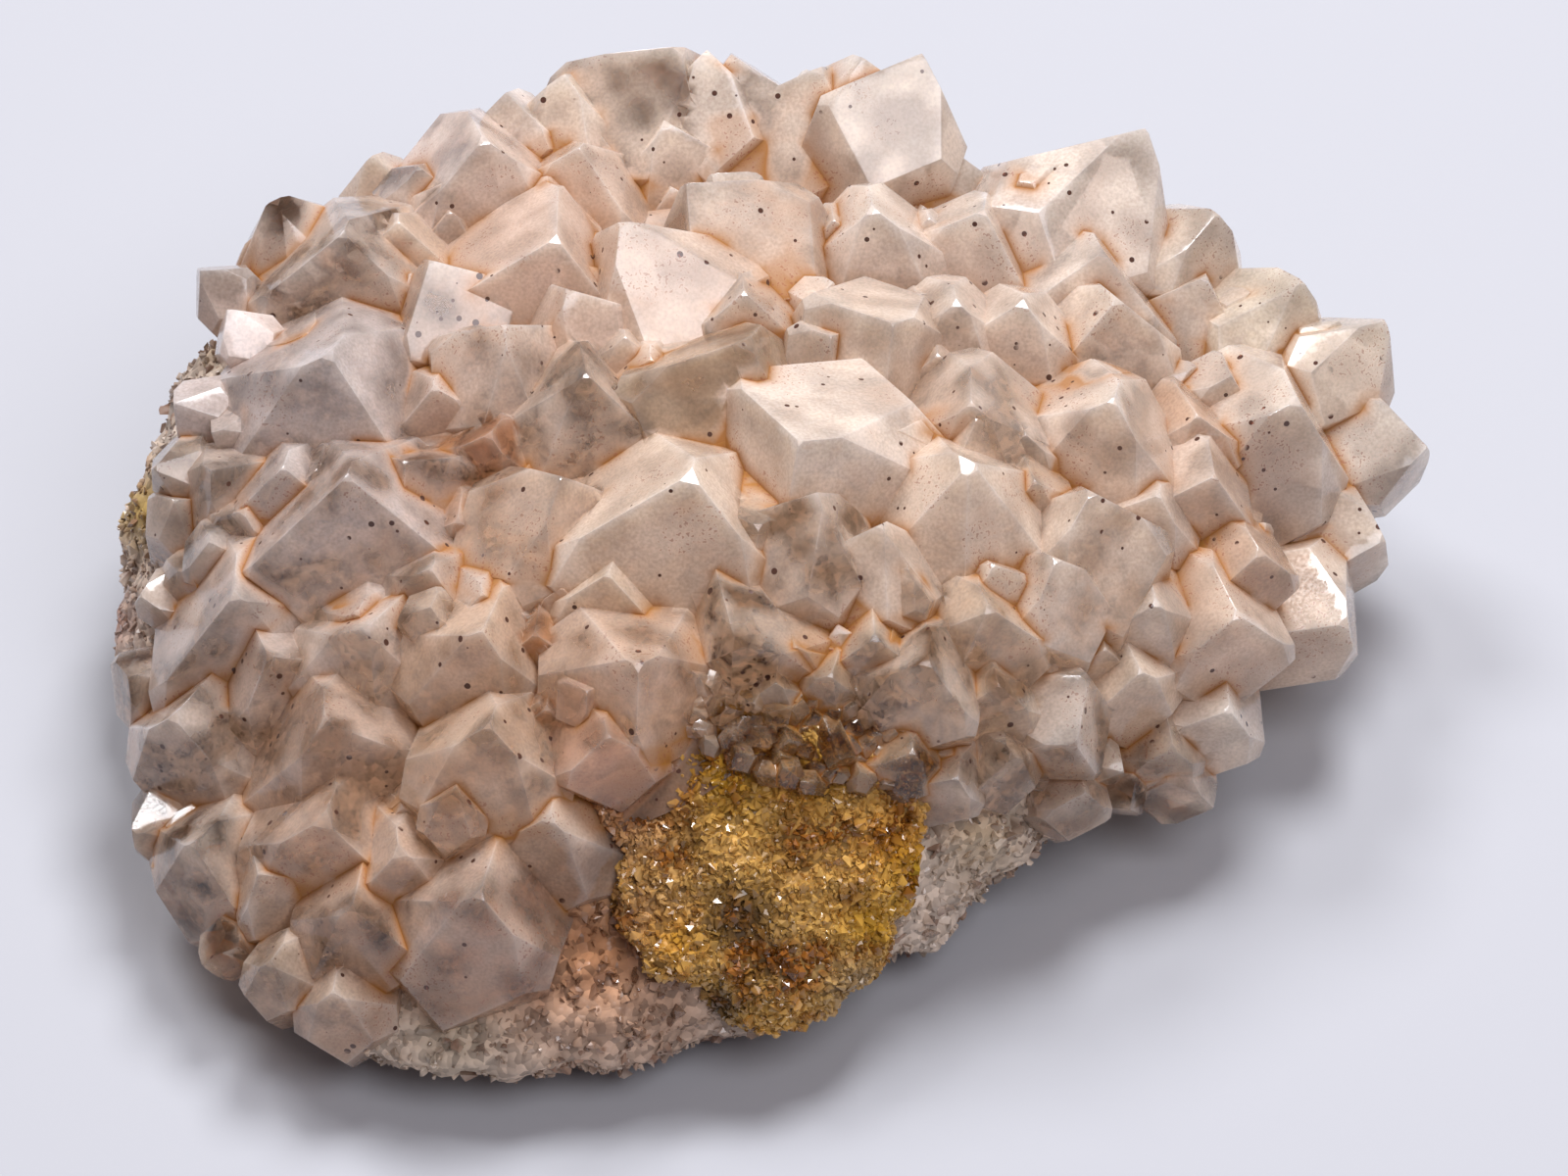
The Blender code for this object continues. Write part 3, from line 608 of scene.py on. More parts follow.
def meshPoints(mesh):
    points = np.zeros(len(mesh.vertices) * 3)
    mesh.vertices.foreach_get("co", points)
    return points.reshape(-1, 3)


def meshWays(mesh):
    ways = np.zeros(len(mesh.vertices) * 3)
    mesh.vertices.foreach_get("normal", ways)
    return ways.reshape(-1, 3)


def paint(mesh, name, values):
    # A number for each vertex, or a colour for each vertex.
    values = np.asarray(values, np.float32)
    if values.ndim == 1:
        mesh.attributes.new(name, "FLOAT", "POINT").data.foreach_set("value", values)
    else:
        mesh.attributes.new(name, "FLOAT_COLOR", "POINT").data.foreach_set("color", values.ravel())


def keptInBox(mesh):
    # Nothing reaches past the solids' own box.
    margin = 0.01 * mm
    points = meshPoints(mesh)
    inside = np.clip(points, np.array(cadLow) + margin, np.array(cadHigh) - margin)
    inside[:, 2] = np.where(points[:, 2] < margin, points[:, 2], inside[:, 2])
    mesh.vertices.foreach_set("co", inside.ravel())


def surfaceFacts(points, bodies):
    # Which crystal each point lies on, how far the next crystal is and how far the crystal's own next edge is.
    count = len(points)
    first = np.full(count, 1.0)
    second = np.full(count, 1.0)
    owner = np.zeros(count, int)
    edge = np.full(count, 1.0)
    for k, body in enumerate(bodies):
        near = np.where(np.linalg.norm(points - body["middle"], axis=1) < body["reach"] + 2 * mm)[0]
        gaps = points[near] @ body["normals"].T - body["offsets"]
        gaps.sort(axis=1)
        outside = np.abs(gaps[:, -1])
        closer = outside < first[near]
        second[near] = np.where(closer, first[near], np.minimum(second[near], outside))
        owner[near[closer]] = k
        edge[near[closer]] = (gaps[:, -1] - gaps[:, -2])[closer]
        first[near] = np.minimum(first[near], outside)
    return owner, second, edge


def cloudy(points, size, octaves, start):
    # Smooth noise from 0 to 1 at each point.
    values = [noise.fractal(Vector(point) / size + start, 0.9, 2.1, octaves) for point in points]
    return np.clip(0.5 + 0.5 * np.array(values), 0, 1)


# Seen places with another tint: right, up, reach, colour, strength, milkiness.
tintAndLightSpots = (
    # The first two rows make the top and the right of the crust paler: partly their own pale tone, partly painted light
    # where the light falls from above and the right
    (6.0, 20.0, 20.0, "#fbecde", 0.85, 0.66),
    (24.0, 6.0, 13.0, "#faecdf", 0.9, 0.60),
    (-12.0, 16.0, 8.0, "#f2dccb", 0.7, 0.60),
    (-23.5, 9.5, 8.0, "#ece4e2", 0.9, 0.42),
    (-22.4, 2.8, 7.0, "#ece2de", 0.9, 0.38),
    (-28.5, -3.0, 7.0, "#e6dad4", 0.8, 0.36),
    (-28.0, 14.0, 5.0, "#e6dcd8", 0.9, 0.75),
    (-30.5, 9.0, 3.5, "#e6dcd8", 0.9, 0.72),
    (-2.2, 10.6, 3.4, "#9a8156", 0.95, 0.40),
    (-15.5, 8.0, 3.6, "#c07a4c", 0.85, 0.35),
    (-17.6, 4.6, 2.8, "#b8764a", 0.8, 0.30),
    (-13.2, 3.4, 3.0, "#cf9468", 0.7, 0.45),
    (-12.4, -3.0, 3.6, "#c08054", 0.85, 0.35),
    (-12.0, -7.4, 2.6, "#bd7748", 0.85, 0.35),
    (-8.8, -6.6, 3.6, "#dca58c", 0.7, 0.55),
    (0.8, 1.6, 4.0, "#cbb096", 0.7, 0.35),
    (5.0, 1.0, 3.0, "#cdb298", 0.6, 0.40),
    (14.8, -6.8, 3.2, "#e6ddd4", 0.8, 0.30),
    (11.0, -5.0, 3.4, "#cdb9a0", 0.6, 0.35),
    (1.0, -8.0, 6.5, "#c09a5e", 0.95, 0.25),
    (-3.2, 8.2, 2.0, "#b8902a", 0.8, 0.35),
    (24.0, 1.0, 4.0, "#d9ab85", 0.6, 0.45),
    (21.0, 8.0, 3.6, "#d7a57c", 0.6, 0.45),
    (31.5, 7.0, 4.0, "#ece4da", 0.7, 0.40),
    (27.0, 8.0, 5.0, "#ead9c8", 0.5, 0.60),
    (27.0, 15.0, 6.0, "#efe2cc", 0.6, 0.60),
    (-20.0, -16.0, 8.0, "#d2b39c", 0.8, 0.38),
    (-24.0, -9.0, 7.0, "#d3b5a0", 0.8, 0.36),
    (-16.0, -12.0, 6.0, "#d4b39a", 0.7, 0.40),
    (-14.0, 20.0, 8.0, "#e6cabb", 0.5, 0.70),
)


def makeQuartz():
    root = BVHTree.FromBMesh(rockForm(quartz["rootLayer"] * mm))
    rng = random.Random(quartz["pointSeed"])
    plan = crystalPlan(root)
    small = smallCrystals(root, plan) + sideCrystals(plan) + drusyCrystals(root)
    bodies, facts = [], []
    for tip, axis, faceWay, width, rise, place in plan + small:
        bm = quartzPoint(width, rise + width * 0.3 + 1.5 * mm, tip, axis, faceWay, rng)
        if len(bm.faces) < 4:
            bm.free()
            continue
        fact = planesOf(bm)
        fact["tip"], fact["width"] = tip, width
        facts.append(fact)
        bodies.append(softened(bm, min(quartz["edgeSoftness"] * mm, 0.035 * width), quartz["waviness"] * mm))
    mesh = grownTogether(rootLayer(), bodies)
    mainBody(mesh)
    points = meshPoints(mesh)
    owner, nextAway, edgeAway = surfaceFacts(points, facts)
    seen = onView([fact["tip"] for fact in facts])
    tintRng = np.random.default_rng(5)
    base = np.array(linear("#f2dac0"))
    pale = np.array(linear("#f9ebdd"))
    tints, milks = [], []
    for place in seen:
        share = tintRng.uniform(0, 1)
        colour = base * (1 - share) + pale * share
        milk = tintRng.uniform(0.22, 0.62)
        for spotRight, spotUp, reach, hexColour, strength, spotMilk in tintAndLightSpots:
            near = math.exp(-((place[0] - spotRight) ** 2 + (place[1] - spotUp) ** 2) / (reach * 0.7) ** 2) * strength
            colour = colour * (1 - near) + np.array(linear(hexColour)) * near
            milk = milk * (1 - near) + spotMilk * near
        tints.append(colour)
        milks.append(milk)
    paint(mesh, "tint", np.array(tints)[owner])
    paint(mesh, "milk", np.array(milks)[owner])
    widths = np.array([fact["width"] for fact in facts])[owner]
    paint(mesh, "crevice", np.clip(1 - nextAway / np.minimum(1.3 * mm, 0.18 * widths), 0, 1))
    # The edge weight also paints the crystals' edges paler: partly frosted edges, partly a painted highlight
    paint(mesh, "edge", np.exp(-np.abs(edgeAway) / (0.028 * widths)))
    paint(mesh, "cloud", cloudy(points, 2.6 * mm, 3, Vector((1, 2, 3))))
    paint(mesh, "veil", cloudy(points, 2.2 * mm, 2, Vector((5, 0, 8))))
    paint(mesh, "rustCloud", cloudy(points, 3.4 * mm, 2, Vector((9, 4, 2))))
    # Painted shade: a weight that grows towards the rock, to brown the crystals near their root
    rockAway = np.array([root.find_nearest(Vector(point))[3] for point in points])
    paint(mesh, "rootShade", np.exp(-rockAway / (1.6 * mm)))
    mesh.transform(Matrix.Translation(shift))
    keptInBox(mesh)
    mesh.shade_smooth()
    mesh.set_sharp_from_angle(angle=math.radians(16))
    piece = newPiece("quartz_points", mesh)
    print("quartz", len(facts), "points", len(mesh.polygons), "faces")
    return piece


quartzPiece = makeQuartz()
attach(quartzPiece, "root")
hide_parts("quartz_crust")


# Seen places of the rock with another tint: right, up, reach, colour, strength.
rockSpots = (
    (-9.5, -18.5, 8.5, "#96653e", 0.95),
    (-9.0, -13.5, 3.5, "#a97a42", 0.8),
    (5.5, -21.5, 3.0, "#a3854c", 0.7),
    (10.0, -13.0, 2.4, "#b3955a", 0.7),
    (-14.5, -17.0, 5.0, "#b98660", 0.9),
    (-6.0, -22.0, 3.0, "#9a7a63", 0.6),
    (-17.0, -23.0, 4.0, "#a89a86", 0.8),
    (-2.5, -21.0, 1.6, "#4a3322", 0.8),
    (10.0, -14.5, 4.0, "#bfae9c", 0.7),
    (17.0, -10.0, 4.0, "#cdbcac", 0.7),
    (-28.0, 13.5, 3.0, "#a08645", 0.8),
    (-32.5, 4.0, 3.0, "#a5862f", 0.85),
    (-30.5, 9.0, 3.0, "#9b9186", 0.7),
    (-35.0, -1.5, 2.5, "#8a4f42", 0.9),
)


def spotTints(points, ways, base, spots):
    # The base colour, changed softly round each seen spot, only where the surface looks to the viewer.
    seen = onView(points)
    facing = np.clip(0.3 - 3 * (ways @ np.array(forward)), 0, 1)
    tints = np.tile(np.array(linear(base)), (len(points), 1))
    for spotRight, spotUp, reach, hexColour, strength in spots:
        away = (seen[:, 0] - spotRight) ** 2 + (seen[:, 1] - spotUp) ** 2
        near = (np.exp(-away / (reach * 0.7) ** 2) * strength * facing)[:, None]
        tints = tints * (1 - near) + np.array(linear(hexColour)) * near
    return tints


def brokenRock(extra, levels):
    bm = rockForm(0, levels)
    roughened(bm, rock["roughness"] * mm, rock["lump"] * mm)
    bm.normal_update()
    for vert in bm.verts:
        vert.co += vert.normal * extra
    return bm


def rockTintsWithLight(points, ways):
    # Grey sand on the bare faces, a red skin low down, and painted light under the crystals: the rock there is made
    # pale as if lit through them.
    tints = spotTints(points, ways, "#cfbdac", rockSpots)
    skin = np.clip(1.6 - points[:, 2] / (1.1 * mm), 0, 1)[:, None] * 0.75
    tints = tints * (1 - skin) + np.array(linear("#8d5f58")) * skin
    rims = np.array([rimHeight(Vector(point)) for point in points])
    # Painted light: the rock under the crust is made pale to stand in for light coming through the crystals
    paintedLightUnderCrust = np.clip((points[:, 2] - rims) / (2.5 * mm), 0, 1)[:, None]
    return tints * (1 - paintedLightUnderCrust) + np.array(linear("#ead2b8")) * paintedLightUnderCrust


def makeRock():
    bm = brokenRock(rock["inset"] * mm, rock["levels"])
    roughened(bm, rock["fineRoughness"] * mm, rock["fineLump"] * mm)
    cutFlat(bm, Vector((0, 0, 0)), Vector((0, 0, -1)))
    mesh = newMesh("sandy_rock", bm)
    mainBody(mesh)
    paint(mesh, "tint", rockTintsWithLight(meshPoints(mesh), meshWays(mesh)))
    mesh.transform(Matrix.Translation(shift))
    keptInBox(mesh)
    mesh.shade_smooth()
    print("rock", len(mesh.polygons), "faces")
    return newPiece("sandy_rock", mesh)


rockPiece = makeRock()
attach(rockPiece, "root")
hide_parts("matrix")


def chips(seed, kinds):
    # Small angular chips, as closed hulls of a few points on a ball.
    rng = random.Random(seed)
    shapes = []
    for _ in range(kinds):
        bm = bmesh.new()
        for _ in range(9):
            way = Vector((rng.gauss(0, 1), rng.gauss(0, 1), rng.gauss(0, 1))).normalized()
            bm.verts.new(way * rng.uniform(0.8, 1))
        bmesh.ops.convex_hull(bm, input=bm.verts[:])
        bmesh.ops.delete(bm, geom=[vert for vert in bm.verts if not vert.link_faces], context="VERTS")
        bmesh.ops.recalc_face_normals(bm, faces=bm.faces[:])
        bm.verts.index_update()
        shapes.append((np.array([vert.co[:] for vert in bm.verts]),
                       np.array([[vert.index for vert in face.verts] for face in bm.faces])))
        bm.free()
    return shapes


def scattered(surface, count, seed):
    # Random places on a mesh, evenly by area, with the surface's own way out.
    surface.calc_loop_triangles()
    corners = np.zeros(len(surface.loop_triangles) * 3, int)
    surface.loop_triangles.foreach_get("vertices", corners)
    points = meshPoints(surface)[corners].reshape(-1, 3, 3)
    across = np.cross(points[:, 1] - points[:, 0], points[:, 2] - points[:, 0])
    area = np.linalg.norm(across, axis=1)
    rng = np.random.default_rng(seed)
    chosen = rng.choice(len(area), count, p=area / area.sum())
    u, v = rng.random((2, count, 1))
    flip = u + v > 1
    u, v = np.where(flip, 1 - u, u), np.where(flip, 1 - v, v)
    tri = points[chosen]
    places = tri[:, 0] * (1 - u - v) + tri[:, 1] * u + tri[:, 2] * v
    return places, across[chosen] / area[chosen][:, None]


def grainMesh(name, places, ways, sizes, tints, seed):
    rng = np.random.default_rng(seed)
    room = sizes[:, None] * 1.75
    fits = ((places - room > np.array(cadLow)) & (places + room < np.array(cadHigh))).all(axis=1)
    places, ways, sizes, tints = places[fits], ways[fits], sizes[fits], tints[fits]
    shapes = chips(seed, 14)
    allPoints, allFaces, tones, counts, start = [], [], [], [], 0
    for place, way, size in zip(places, ways, sizes):
        sink = rng.uniform(-0.3, 0.45)
        shape, faces = shapes[rng.integers(len(shapes))]
        turn = np.array(Quaternion(rng.normal(size=4)).normalized().to_matrix())
        stretch = rng.uniform(0.65, 1.25, 3)
        allPoints.append((shape * stretch) @ turn.T * size + place + way * size * sink)
        allFaces.append(faces + start)
        tones.append(np.full(len(shape), rng.random()))
        counts.append(len(shape))
        start += len(shape)
    mesh = bpy.data.meshes.new(name)
    points, faces = np.concatenate(allPoints), np.concatenate(allFaces)
    mesh.from_pydata(points.tolist(), [], faces.tolist())
    paint(mesh, "tone", np.concatenate(tones))
    paint(mesh, "tint", np.repeat(tints, counts, axis=0))
    return mesh


grains = {
    "rockCount": 9500,
    "rockSize": (0.12, 0.75),
    "limoniteCount": 9000,
    "limoniteSize": (0.1, 0.6),
}


def makeRockGrains():
    # Sand grains and broken quartz on the bare rock.
    places, ways = scattered(rockPiece.data, grains["rockCount"] * 3, 3)
    raw = places - np.array(shift)
    rims = np.array([rimHeight(Vector(place)) for place in raw])
    bare = (raw[:, 2] > 0.6 * mm) & (raw[:, 2] < rims + 3 * mm) & (ways[:, 2] > -0.75)
    places, ways = places[bare][:grains["rockCount"]], ways[bare][:grains["rockCount"]]
    rng = np.random.default_rng(4)
    low, high = grains["rockSize"]
    sizes = (rng.beta(1.1, 4, len(places)) * (high - low) + low) * mm
    tints = rockTintsWithLight(places - np.array(shift), ways)
    piece = newPiece("rock_grains", grainMesh("rock_grains", places, ways, sizes, tints, 11))
    print("rock grains", len(places))
    return piece


rockGrainPiece = makeRockGrains()
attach(rockGrainPiece, "root")


limonite = {
    "middle": (0.7, -18.4, 11.7),
    "half": (8.5, 7.0, 7.9),
    "lean": -16,
    "thickness": 1.1,
    "wave": 0.28,
}

# Seen places of the limonite with another tint: right, up, reach, colour, strength.
limoniteSpots = (
    (-8.5, -11.0, 4.5, "#bb8b66", 0.95),
    (-7.0, -17.0, 3.0, "#a98059", 0.8),
    (0.0, -5.5, 3.5, "#a9905c", 0.9),
    (7.5, -9.0, 2.5, "#b49a6d", 0.8),
    (-3.0, -9.5, 3.4, "#b8891c", 0.9),
    (1.5, -9.5, 2.4, "#c08a1a", 0.8),
    (5.5, -13.0, 2.4, "#c4831c", 0.85),
    (7.2, -15.0, 2.2, "#e8b812", 0.95),
    (4.4, -17.5, 2.2, "#cf9c16", 0.85),
    (-5.6, -18.0, 2.0, "#c18a20", 0.8),
    (-2.3, -16.8, 2.9, "#4a2f17", 0.9),
    (-0.6, -19.0, 2.6, "#553a1f", 0.8),
    (-3.2, -21.2, 1.6, "#33241a", 0.9),
    (2.7, -9.2, 1.1, "#54300f", 0.9),
    (-4.8, -13.0, 1.6, "#6d4a1c", 0.7),
    (0.5, -13.2, 2.0, "#96662a", 0.6),
    (4.0, -20.5, 3.0, "#8d7a62", 0.8),
)


def makeLimonite():
    pad = brokenRock(limonite["thickness"] * mm, 4)
    roughened(pad, 0.5 * mm, 1.6 * mm)
    bound = bmesh.new()
    bmesh.ops.create_icosphere(bound, subdivisions=5, radius=1)
    roughened(bound, limonite["wave"], 0.6)
    place = Matrix.Translation(Vector(limonite["middle"]) * mm) @ Matrix.Rotation(math.radians(limonite["lean"]), 4, "X")
    bmesh.ops.transform(bound, matrix=place @ Matrix.Diagonal((*(Vector(limonite["half"]) * mm), 1)), verts=bound.verts[:])
    boundary = newPiece("bound", newMesh("bound", bound))
    piece = newPiece("pad", newMesh("pad", pad))
    modifier = piece.modifiers.new("trim", "BOOLEAN")
    modifier.operation = "INTERSECT"
    modifier.object = boundary
    modifier.solver = "MANIFOLD"
    mesh = bpy.data.meshes.new_from_object(piece.evaluated_get(bpy.context.evaluated_depsgraph_get()))
    bpy.data.objects.remove(piece)
    bpy.data.objects.remove(boundary)
    mainBody(mesh)
    paint(mesh, "tint", spotTints(meshPoints(mesh), meshWays(mesh), "#c4984f", limoniteSpots))
    mesh.transform(Matrix.Translation(shift))
    keptInBox(mesh)
    mesh.shade_smooth()
    made = newPiece("limonite_pad", mesh)
    places, ways = scattered(mesh, grains["limoniteCount"] * 3, 21)
    outer = ways @ np.array([0, -0.8, 0.6]) > -0.1
    places, ways = places[outer][:grains["limoniteCount"]], ways[outer][:grains["limoniteCount"]]
    rng = np.random.default_rng(22)
    low, high = grains["limoniteSize"]
    sizes = (rng.beta(1.1, 4, len(places)) * (high - low) + low) * mm
    tints = spotTints(places - np.array(shift), ways, "#dcae5e", limoniteSpots)
    crumbs = newPiece("limonite_grains", grainMesh("limonite_grains", places, ways, sizes, tints, 23))
    print("limonite", len(mesh.polygons), "faces", len(places), "grains")
    return made, crumbs


limonitePad, limoniteGrains = makeLimonite()
for piece in (limonitePad, limoniteGrains):
    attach(piece, "root")
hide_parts("limonite_patch")


def newMaterial(name):
    material = bpy.data.materials.new(name)
    material.use_nodes = True
    tree = material.node_tree
    return material, tree, tree.nodes["Principled BSDF"], tree.nodes["Material Output"]


def milkyQuartz():
    # Rock quartz, milky and rose with iron, grown free. Lit faces look frosted and pale, shaded ones tan and clear.
    material, tree, shader, output = newMaterial("milky quartz")
    place = addNode(tree, "ShaderNodeTexCoord").outputs["Object"]
    tint = addNode(tree, "ShaderNodeAttribute", {"attribute_name": "tint"}).outputs["Color"]
    milk, crevice, edge, cloud, rustCloud, veil, rootShade = (
        addNode(tree, "ShaderNodeAttribute", {"attribute_name": name}).outputs["Fac"]
        for name in ("milk", "crevice", "edge", "cloud", "rustCloud", "veil", "rootShade"))
    cells = addNode(tree, "ShaderNodeTexVoronoi", {"Scale": 1 / (0.9 * mm)}, {"Vector": place})  # one oxide speck each
    chance = addNode(tree, "ShaderNodeSeparateColor", links={"Color": cells.outputs["Color"]}).outputs
    frost = addNode(tree, "ShaderNodeTexNoise", {"Scale": 1 / (0.17 * mm), "Detail": 1.0}, {"Vector": place}).outputs["Fac"]
    # tone: browner towards the root as painted shade, lightened by frosting, palest at the edges, partly frosted and
    # partly a painted highlight
    rootShadeShare = addNode(tree, "ShaderNodeMath", {"operation": "MULTIPLY", 1: 0.62}, {0: rootShade}).outputs[0]
    rootShaded = addNode(tree, "ShaderNodeMix", {"data_type": "RGBA", 7: linear("#a9774e")}, {"Factor": rootShadeShare, 6: tint}).outputs[2]
    grit = addNode(tree, "ShaderNodeMapRange", {"From Min": 0.3, "From Max": 0.7, "To Min": 0.86, "To Max": 1.1}, {"Value": frost}).outputs["Result"]
    frosted = addNode(tree, "ShaderNodeMix", {"data_type": "RGBA", "blend_type": "MULTIPLY", "Factor": 1.0}, {6: rootShaded, 7: grit}).outputs[2]
    # Partly a painted highlight: the edges are lightened towards a pale rim colour
    rim = addNode(tree, "ShaderNodeMath", {"operation": "POWER", 1: 3.0}, {0: edge}).outputs[0]
    rimHighlightShare = addNode(tree, "ShaderNodeMath", {"operation": "MULTIPLY", 1: 0.35}, {0: rim}).outputs[0]
    rimHighlighted = addNode(tree, "ShaderNodeMix", {"data_type": "RGBA", 7: linear("#f6ebe2")}, {"Factor": rimHighlightShare, 6: frosted}).outputs[2]
    # rust: thin lines where two crystals meet, only in places
    rustShare = addNode(tree, "ShaderNodeMapRange", {"From Min": 0.42, "From Max": 0.58}, {"Value": rustCloud}).outputs["Result"]
    line = addNode(tree, "ShaderNodeMath", {"operation": "POWER", 1: 2.2}, {0: crevice}).outputs[0]
    weak = addNode(tree, "ShaderNodeMath", {"operation": "MULTIPLY", 1: 0.95}, {0: line}).outputs[0]
    rust = addNode(tree, "ShaderNodeMath", {"operation": "MULTIPLY", "use_clamp": True}, {0: weak, 1: rustShare}).outputs[0]
    rusty = addNode(tree, "ShaderNodeMix", {"data_type": "RGBA", 7: linear("#9c6626")}, {"Factor": rust, 6: rimHighlighted}).outputs[2]
    # specks of dark oxide, up to 0.25 mm wide, in swarms
    size = addNode(tree, "ShaderNodeMapRange", {"From Min": 0.35, "To Min": 0.03, "To Max": 0.2}, {"Value": chance["Green"]}).outputs["Result"]
    inside = addNode(tree, "ShaderNodeMath", {"operation": "LESS_THAN"}, {0: cells.outputs["Distance"], 1: size}).outputs[0]
    crowd = addNode(tree, "ShaderNodeMapRange", {"From Min": 0.42, "From Max": 0.48}, {"Value": cloud}).outputs["Result"]
    speck = addNode(tree, "ShaderNodeMath", {"operation": "MULTIPLY"}, {0: inside, 1: crowd}).outputs[0]
    speckled = addNode(tree, "ShaderNodeMix", {"data_type": "RGBA", 7: linear("#4b3128")}, {"Factor": speck, 6: rusty}).outputs[2]
    # fine red dust in patches
    patch = addNode(tree, "ShaderNodeMapRange", {"From Min": 0.56, "From Max": 0.66}, {"Value": rustCloud}).outputs["Result"]
    grain = addNode(tree, "ShaderNodeMapRange", {"From Min": 0.6, "From Max": 0.66, "To Max": 0.55}, {"Value": frost}).outputs["Result"]
    dust = addNode(tree, "ShaderNodeMath", {"operation": "MULTIPLY"}, {0: patch, 1: grain}).outputs[0]
    dusty = addNode(tree, "ShaderNodeMix", {"data_type": "RGBA", 7: linear("#8f4f38")}, {"Factor": dust, 6: speckled}).outputs[2]
    tree.links.new(dusty, shader.inputs["Base Color"])
    # clear windows where the milk is thin, blind under rust and specks
    clear = addNode(tree, "ShaderNodeMath", {"operation": "SUBTRACT", 0: 1.0}, {1: milk}).outputs[0]
    window = addNode(tree, "ShaderNodeMapRange", {"From Min": 0.3, "From Max": 0.7, "To Min": 0.95, "To Max": 1.5}, {"Value": veil}).outputs["Result"]
    clearer = addNode(tree, "ShaderNodeMath", {"operation": "MULTIPLY", "use_clamp": True}, {0: clear, 1: window}).outputs[0]
    blind = addNode(tree, "ShaderNodeMath", {"operation": "MAXIMUM"}, {0: rust, 1: speck}).outputs[0]
    bare = addNode(tree, "ShaderNodeMath", {"operation": "SUBTRACT", 0: 1.0}, {1: blind}).outputs[0]
    through = addNode(tree, "ShaderNodeMath", {"operation": "MULTIPLY", "use_clamp": True}, {0: clearer, 1: bare}).outputs[0]
    tree.links.new(through, shader.inputs["Transmission Weight"])
    rough = addNode(tree, "ShaderNodeMapRange", {"From Min": 0.35, "From Max": 0.65, "To Min": 0.06, "To Max": 0.2}, {"Value": frost}).outputs["Result"]
    tree.links.new(rough, shader.inputs["Roughness"])
    shader.inputs["IOR"].default_value = 1.544
    shader.inputs["Subsurface Weight"].default_value = 0.4
    shader.inputs["Subsurface Radius"].default_value = (1.0, 0.95, 0.85)
    shader.inputs["Subsurface Scale"].default_value = 2.2 * mm
    depth = addNode(tree, "ShaderNodeVolumeAbsorption", {"Color": linear("#f2d3ad"), "Density": 40})
    tree.links.new(depth.outputs["Volume"], output.inputs["Volume"])
    return material


def sandyStone(name, grainSize, darkest, bumpHeight):
    # Cemented sand, dull and rough: each grain has its own tone, a few are glassy.
    material, tree, shader, output = newMaterial(name)
    place = addNode(tree, "ShaderNodeTexCoord").outputs["Object"]
    tint = addNode(tree, "ShaderNodeAttribute", {"attribute_name": "tint"}).outputs["Color"]
    cells = addNode(tree, "ShaderNodeTexVoronoi", {"Scale": 1 / (grainSize * mm)}, {"Vector": place})
    chance = addNode(tree, "ShaderNodeSeparateColor", links={"Color": cells.outputs["Color"]}).outputs
    tone = addNode(tree, "ShaderNodeMapRange", {"To Min": darkest, "To Max": 1.3}, {"Value": chance["Red"]}).outputs["Result"]
    toned = addNode(tree, "ShaderNodeMix", {"data_type": "RGBA", "blend_type": "MULTIPLY", "Factor": 1.0}, {6: tint, 7: tone}).outputs[2]
    tree.links.new(toned, shader.inputs["Base Color"])
    rough = addNode(tree, "ShaderNodeMapRange", {"From Min": 0.7, "To Min": 0.9, "To Max": 0.35}, {"Value": chance["Green"]}).outputs["Result"]
    tree.links.new(rough, shader.inputs["Roughness"])
    bump = addNode(tree, "ShaderNodeBump", {"Strength": 0.8, "Distance": bumpHeight * mm, "invert": True}, {"Height": cells.outputs["Distance"]})
    tree.links.new(bump.outputs["Normal"], shader.inputs["Normal"])
    return material


def glassyGrains(name, darkest, palest, clearShare, dullest, stain):
    # Loose and broken grains: most are dull, the clear ones let light in and sparkle.
    material, tree, shader, output = newMaterial(name)
    place = addNode(tree, "ShaderNodeTexCoord").outputs["Object"]
    tint = addNode(tree, "ShaderNodeAttribute", {"attribute_name": "tint"}).outputs["Color"]
    tone = addNode(tree, "ShaderNodeAttribute", {"attribute_name": "tone"}).outputs["Fac"]
    dust = addNode(tree, "ShaderNodeTexNoise", {"Scale": 1 / (0.3 * mm), "Detail": 1.0}, {"Vector": place}).outputs["Fac"]
    own = addNode(tree, "ShaderNodeMapRange", {"To Min": darkest, "To Max": palest}, {"Value": tone}).outputs["Result"]
    dusty = addNode(tree, "ShaderNodeMapRange", {"To Min": 0.8, "To Max": 1.2}, {"Value": dust}).outputs["Result"]
    share = addNode(tree, "ShaderNodeMath", {"operation": "MULTIPLY"}, {0: own, 1: dusty}).outputs[0]
    toned = addNode(tree, "ShaderNodeMix", {"data_type": "RGBA", "blend_type": "MULTIPLY", "Factor": 1.0}, {6: tint, 7: share}).outputs[2]
    # iron stain in soft patches about 2 mm wide
    blotch = addNode(tree, "ShaderNodeTexNoise", {"Scale": 1 / (2.2 * mm), "Detail": 2.0}, {"Vector": place}).outputs["Fac"]
    stained = addNode(tree, "ShaderNodeMapRange", {"From Min": 0.48, "From Max": 0.64, "To Max": 0.85}, {"Value": blotch}).outputs["Result"]
    mottled = addNode(tree, "ShaderNodeMix", {"data_type": "RGBA", 7: linear(stain)}, {"Factor": stained, 6: toned}).outputs[2]
    tree.links.new(mottled, shader.inputs["Base Color"])
    clear = addNode(tree, "ShaderNodeMapRange", {"From Min": 1 - clearShare, "From Max": 1.0, "To Max": 0.75}, {"Value": tone}).outputs["Result"]
    tree.links.new(clear, shader.inputs["Transmission Weight"])
    rough = addNode(tree, "ShaderNodeMapRange", {"To Min": dullest, "To Max": 0.04}, {"Value": tone}).outputs["Result"]
    tree.links.new(rough, shader.inputs["Roughness"])
    shader.inputs["IOR"].default_value = 1.544
    return material


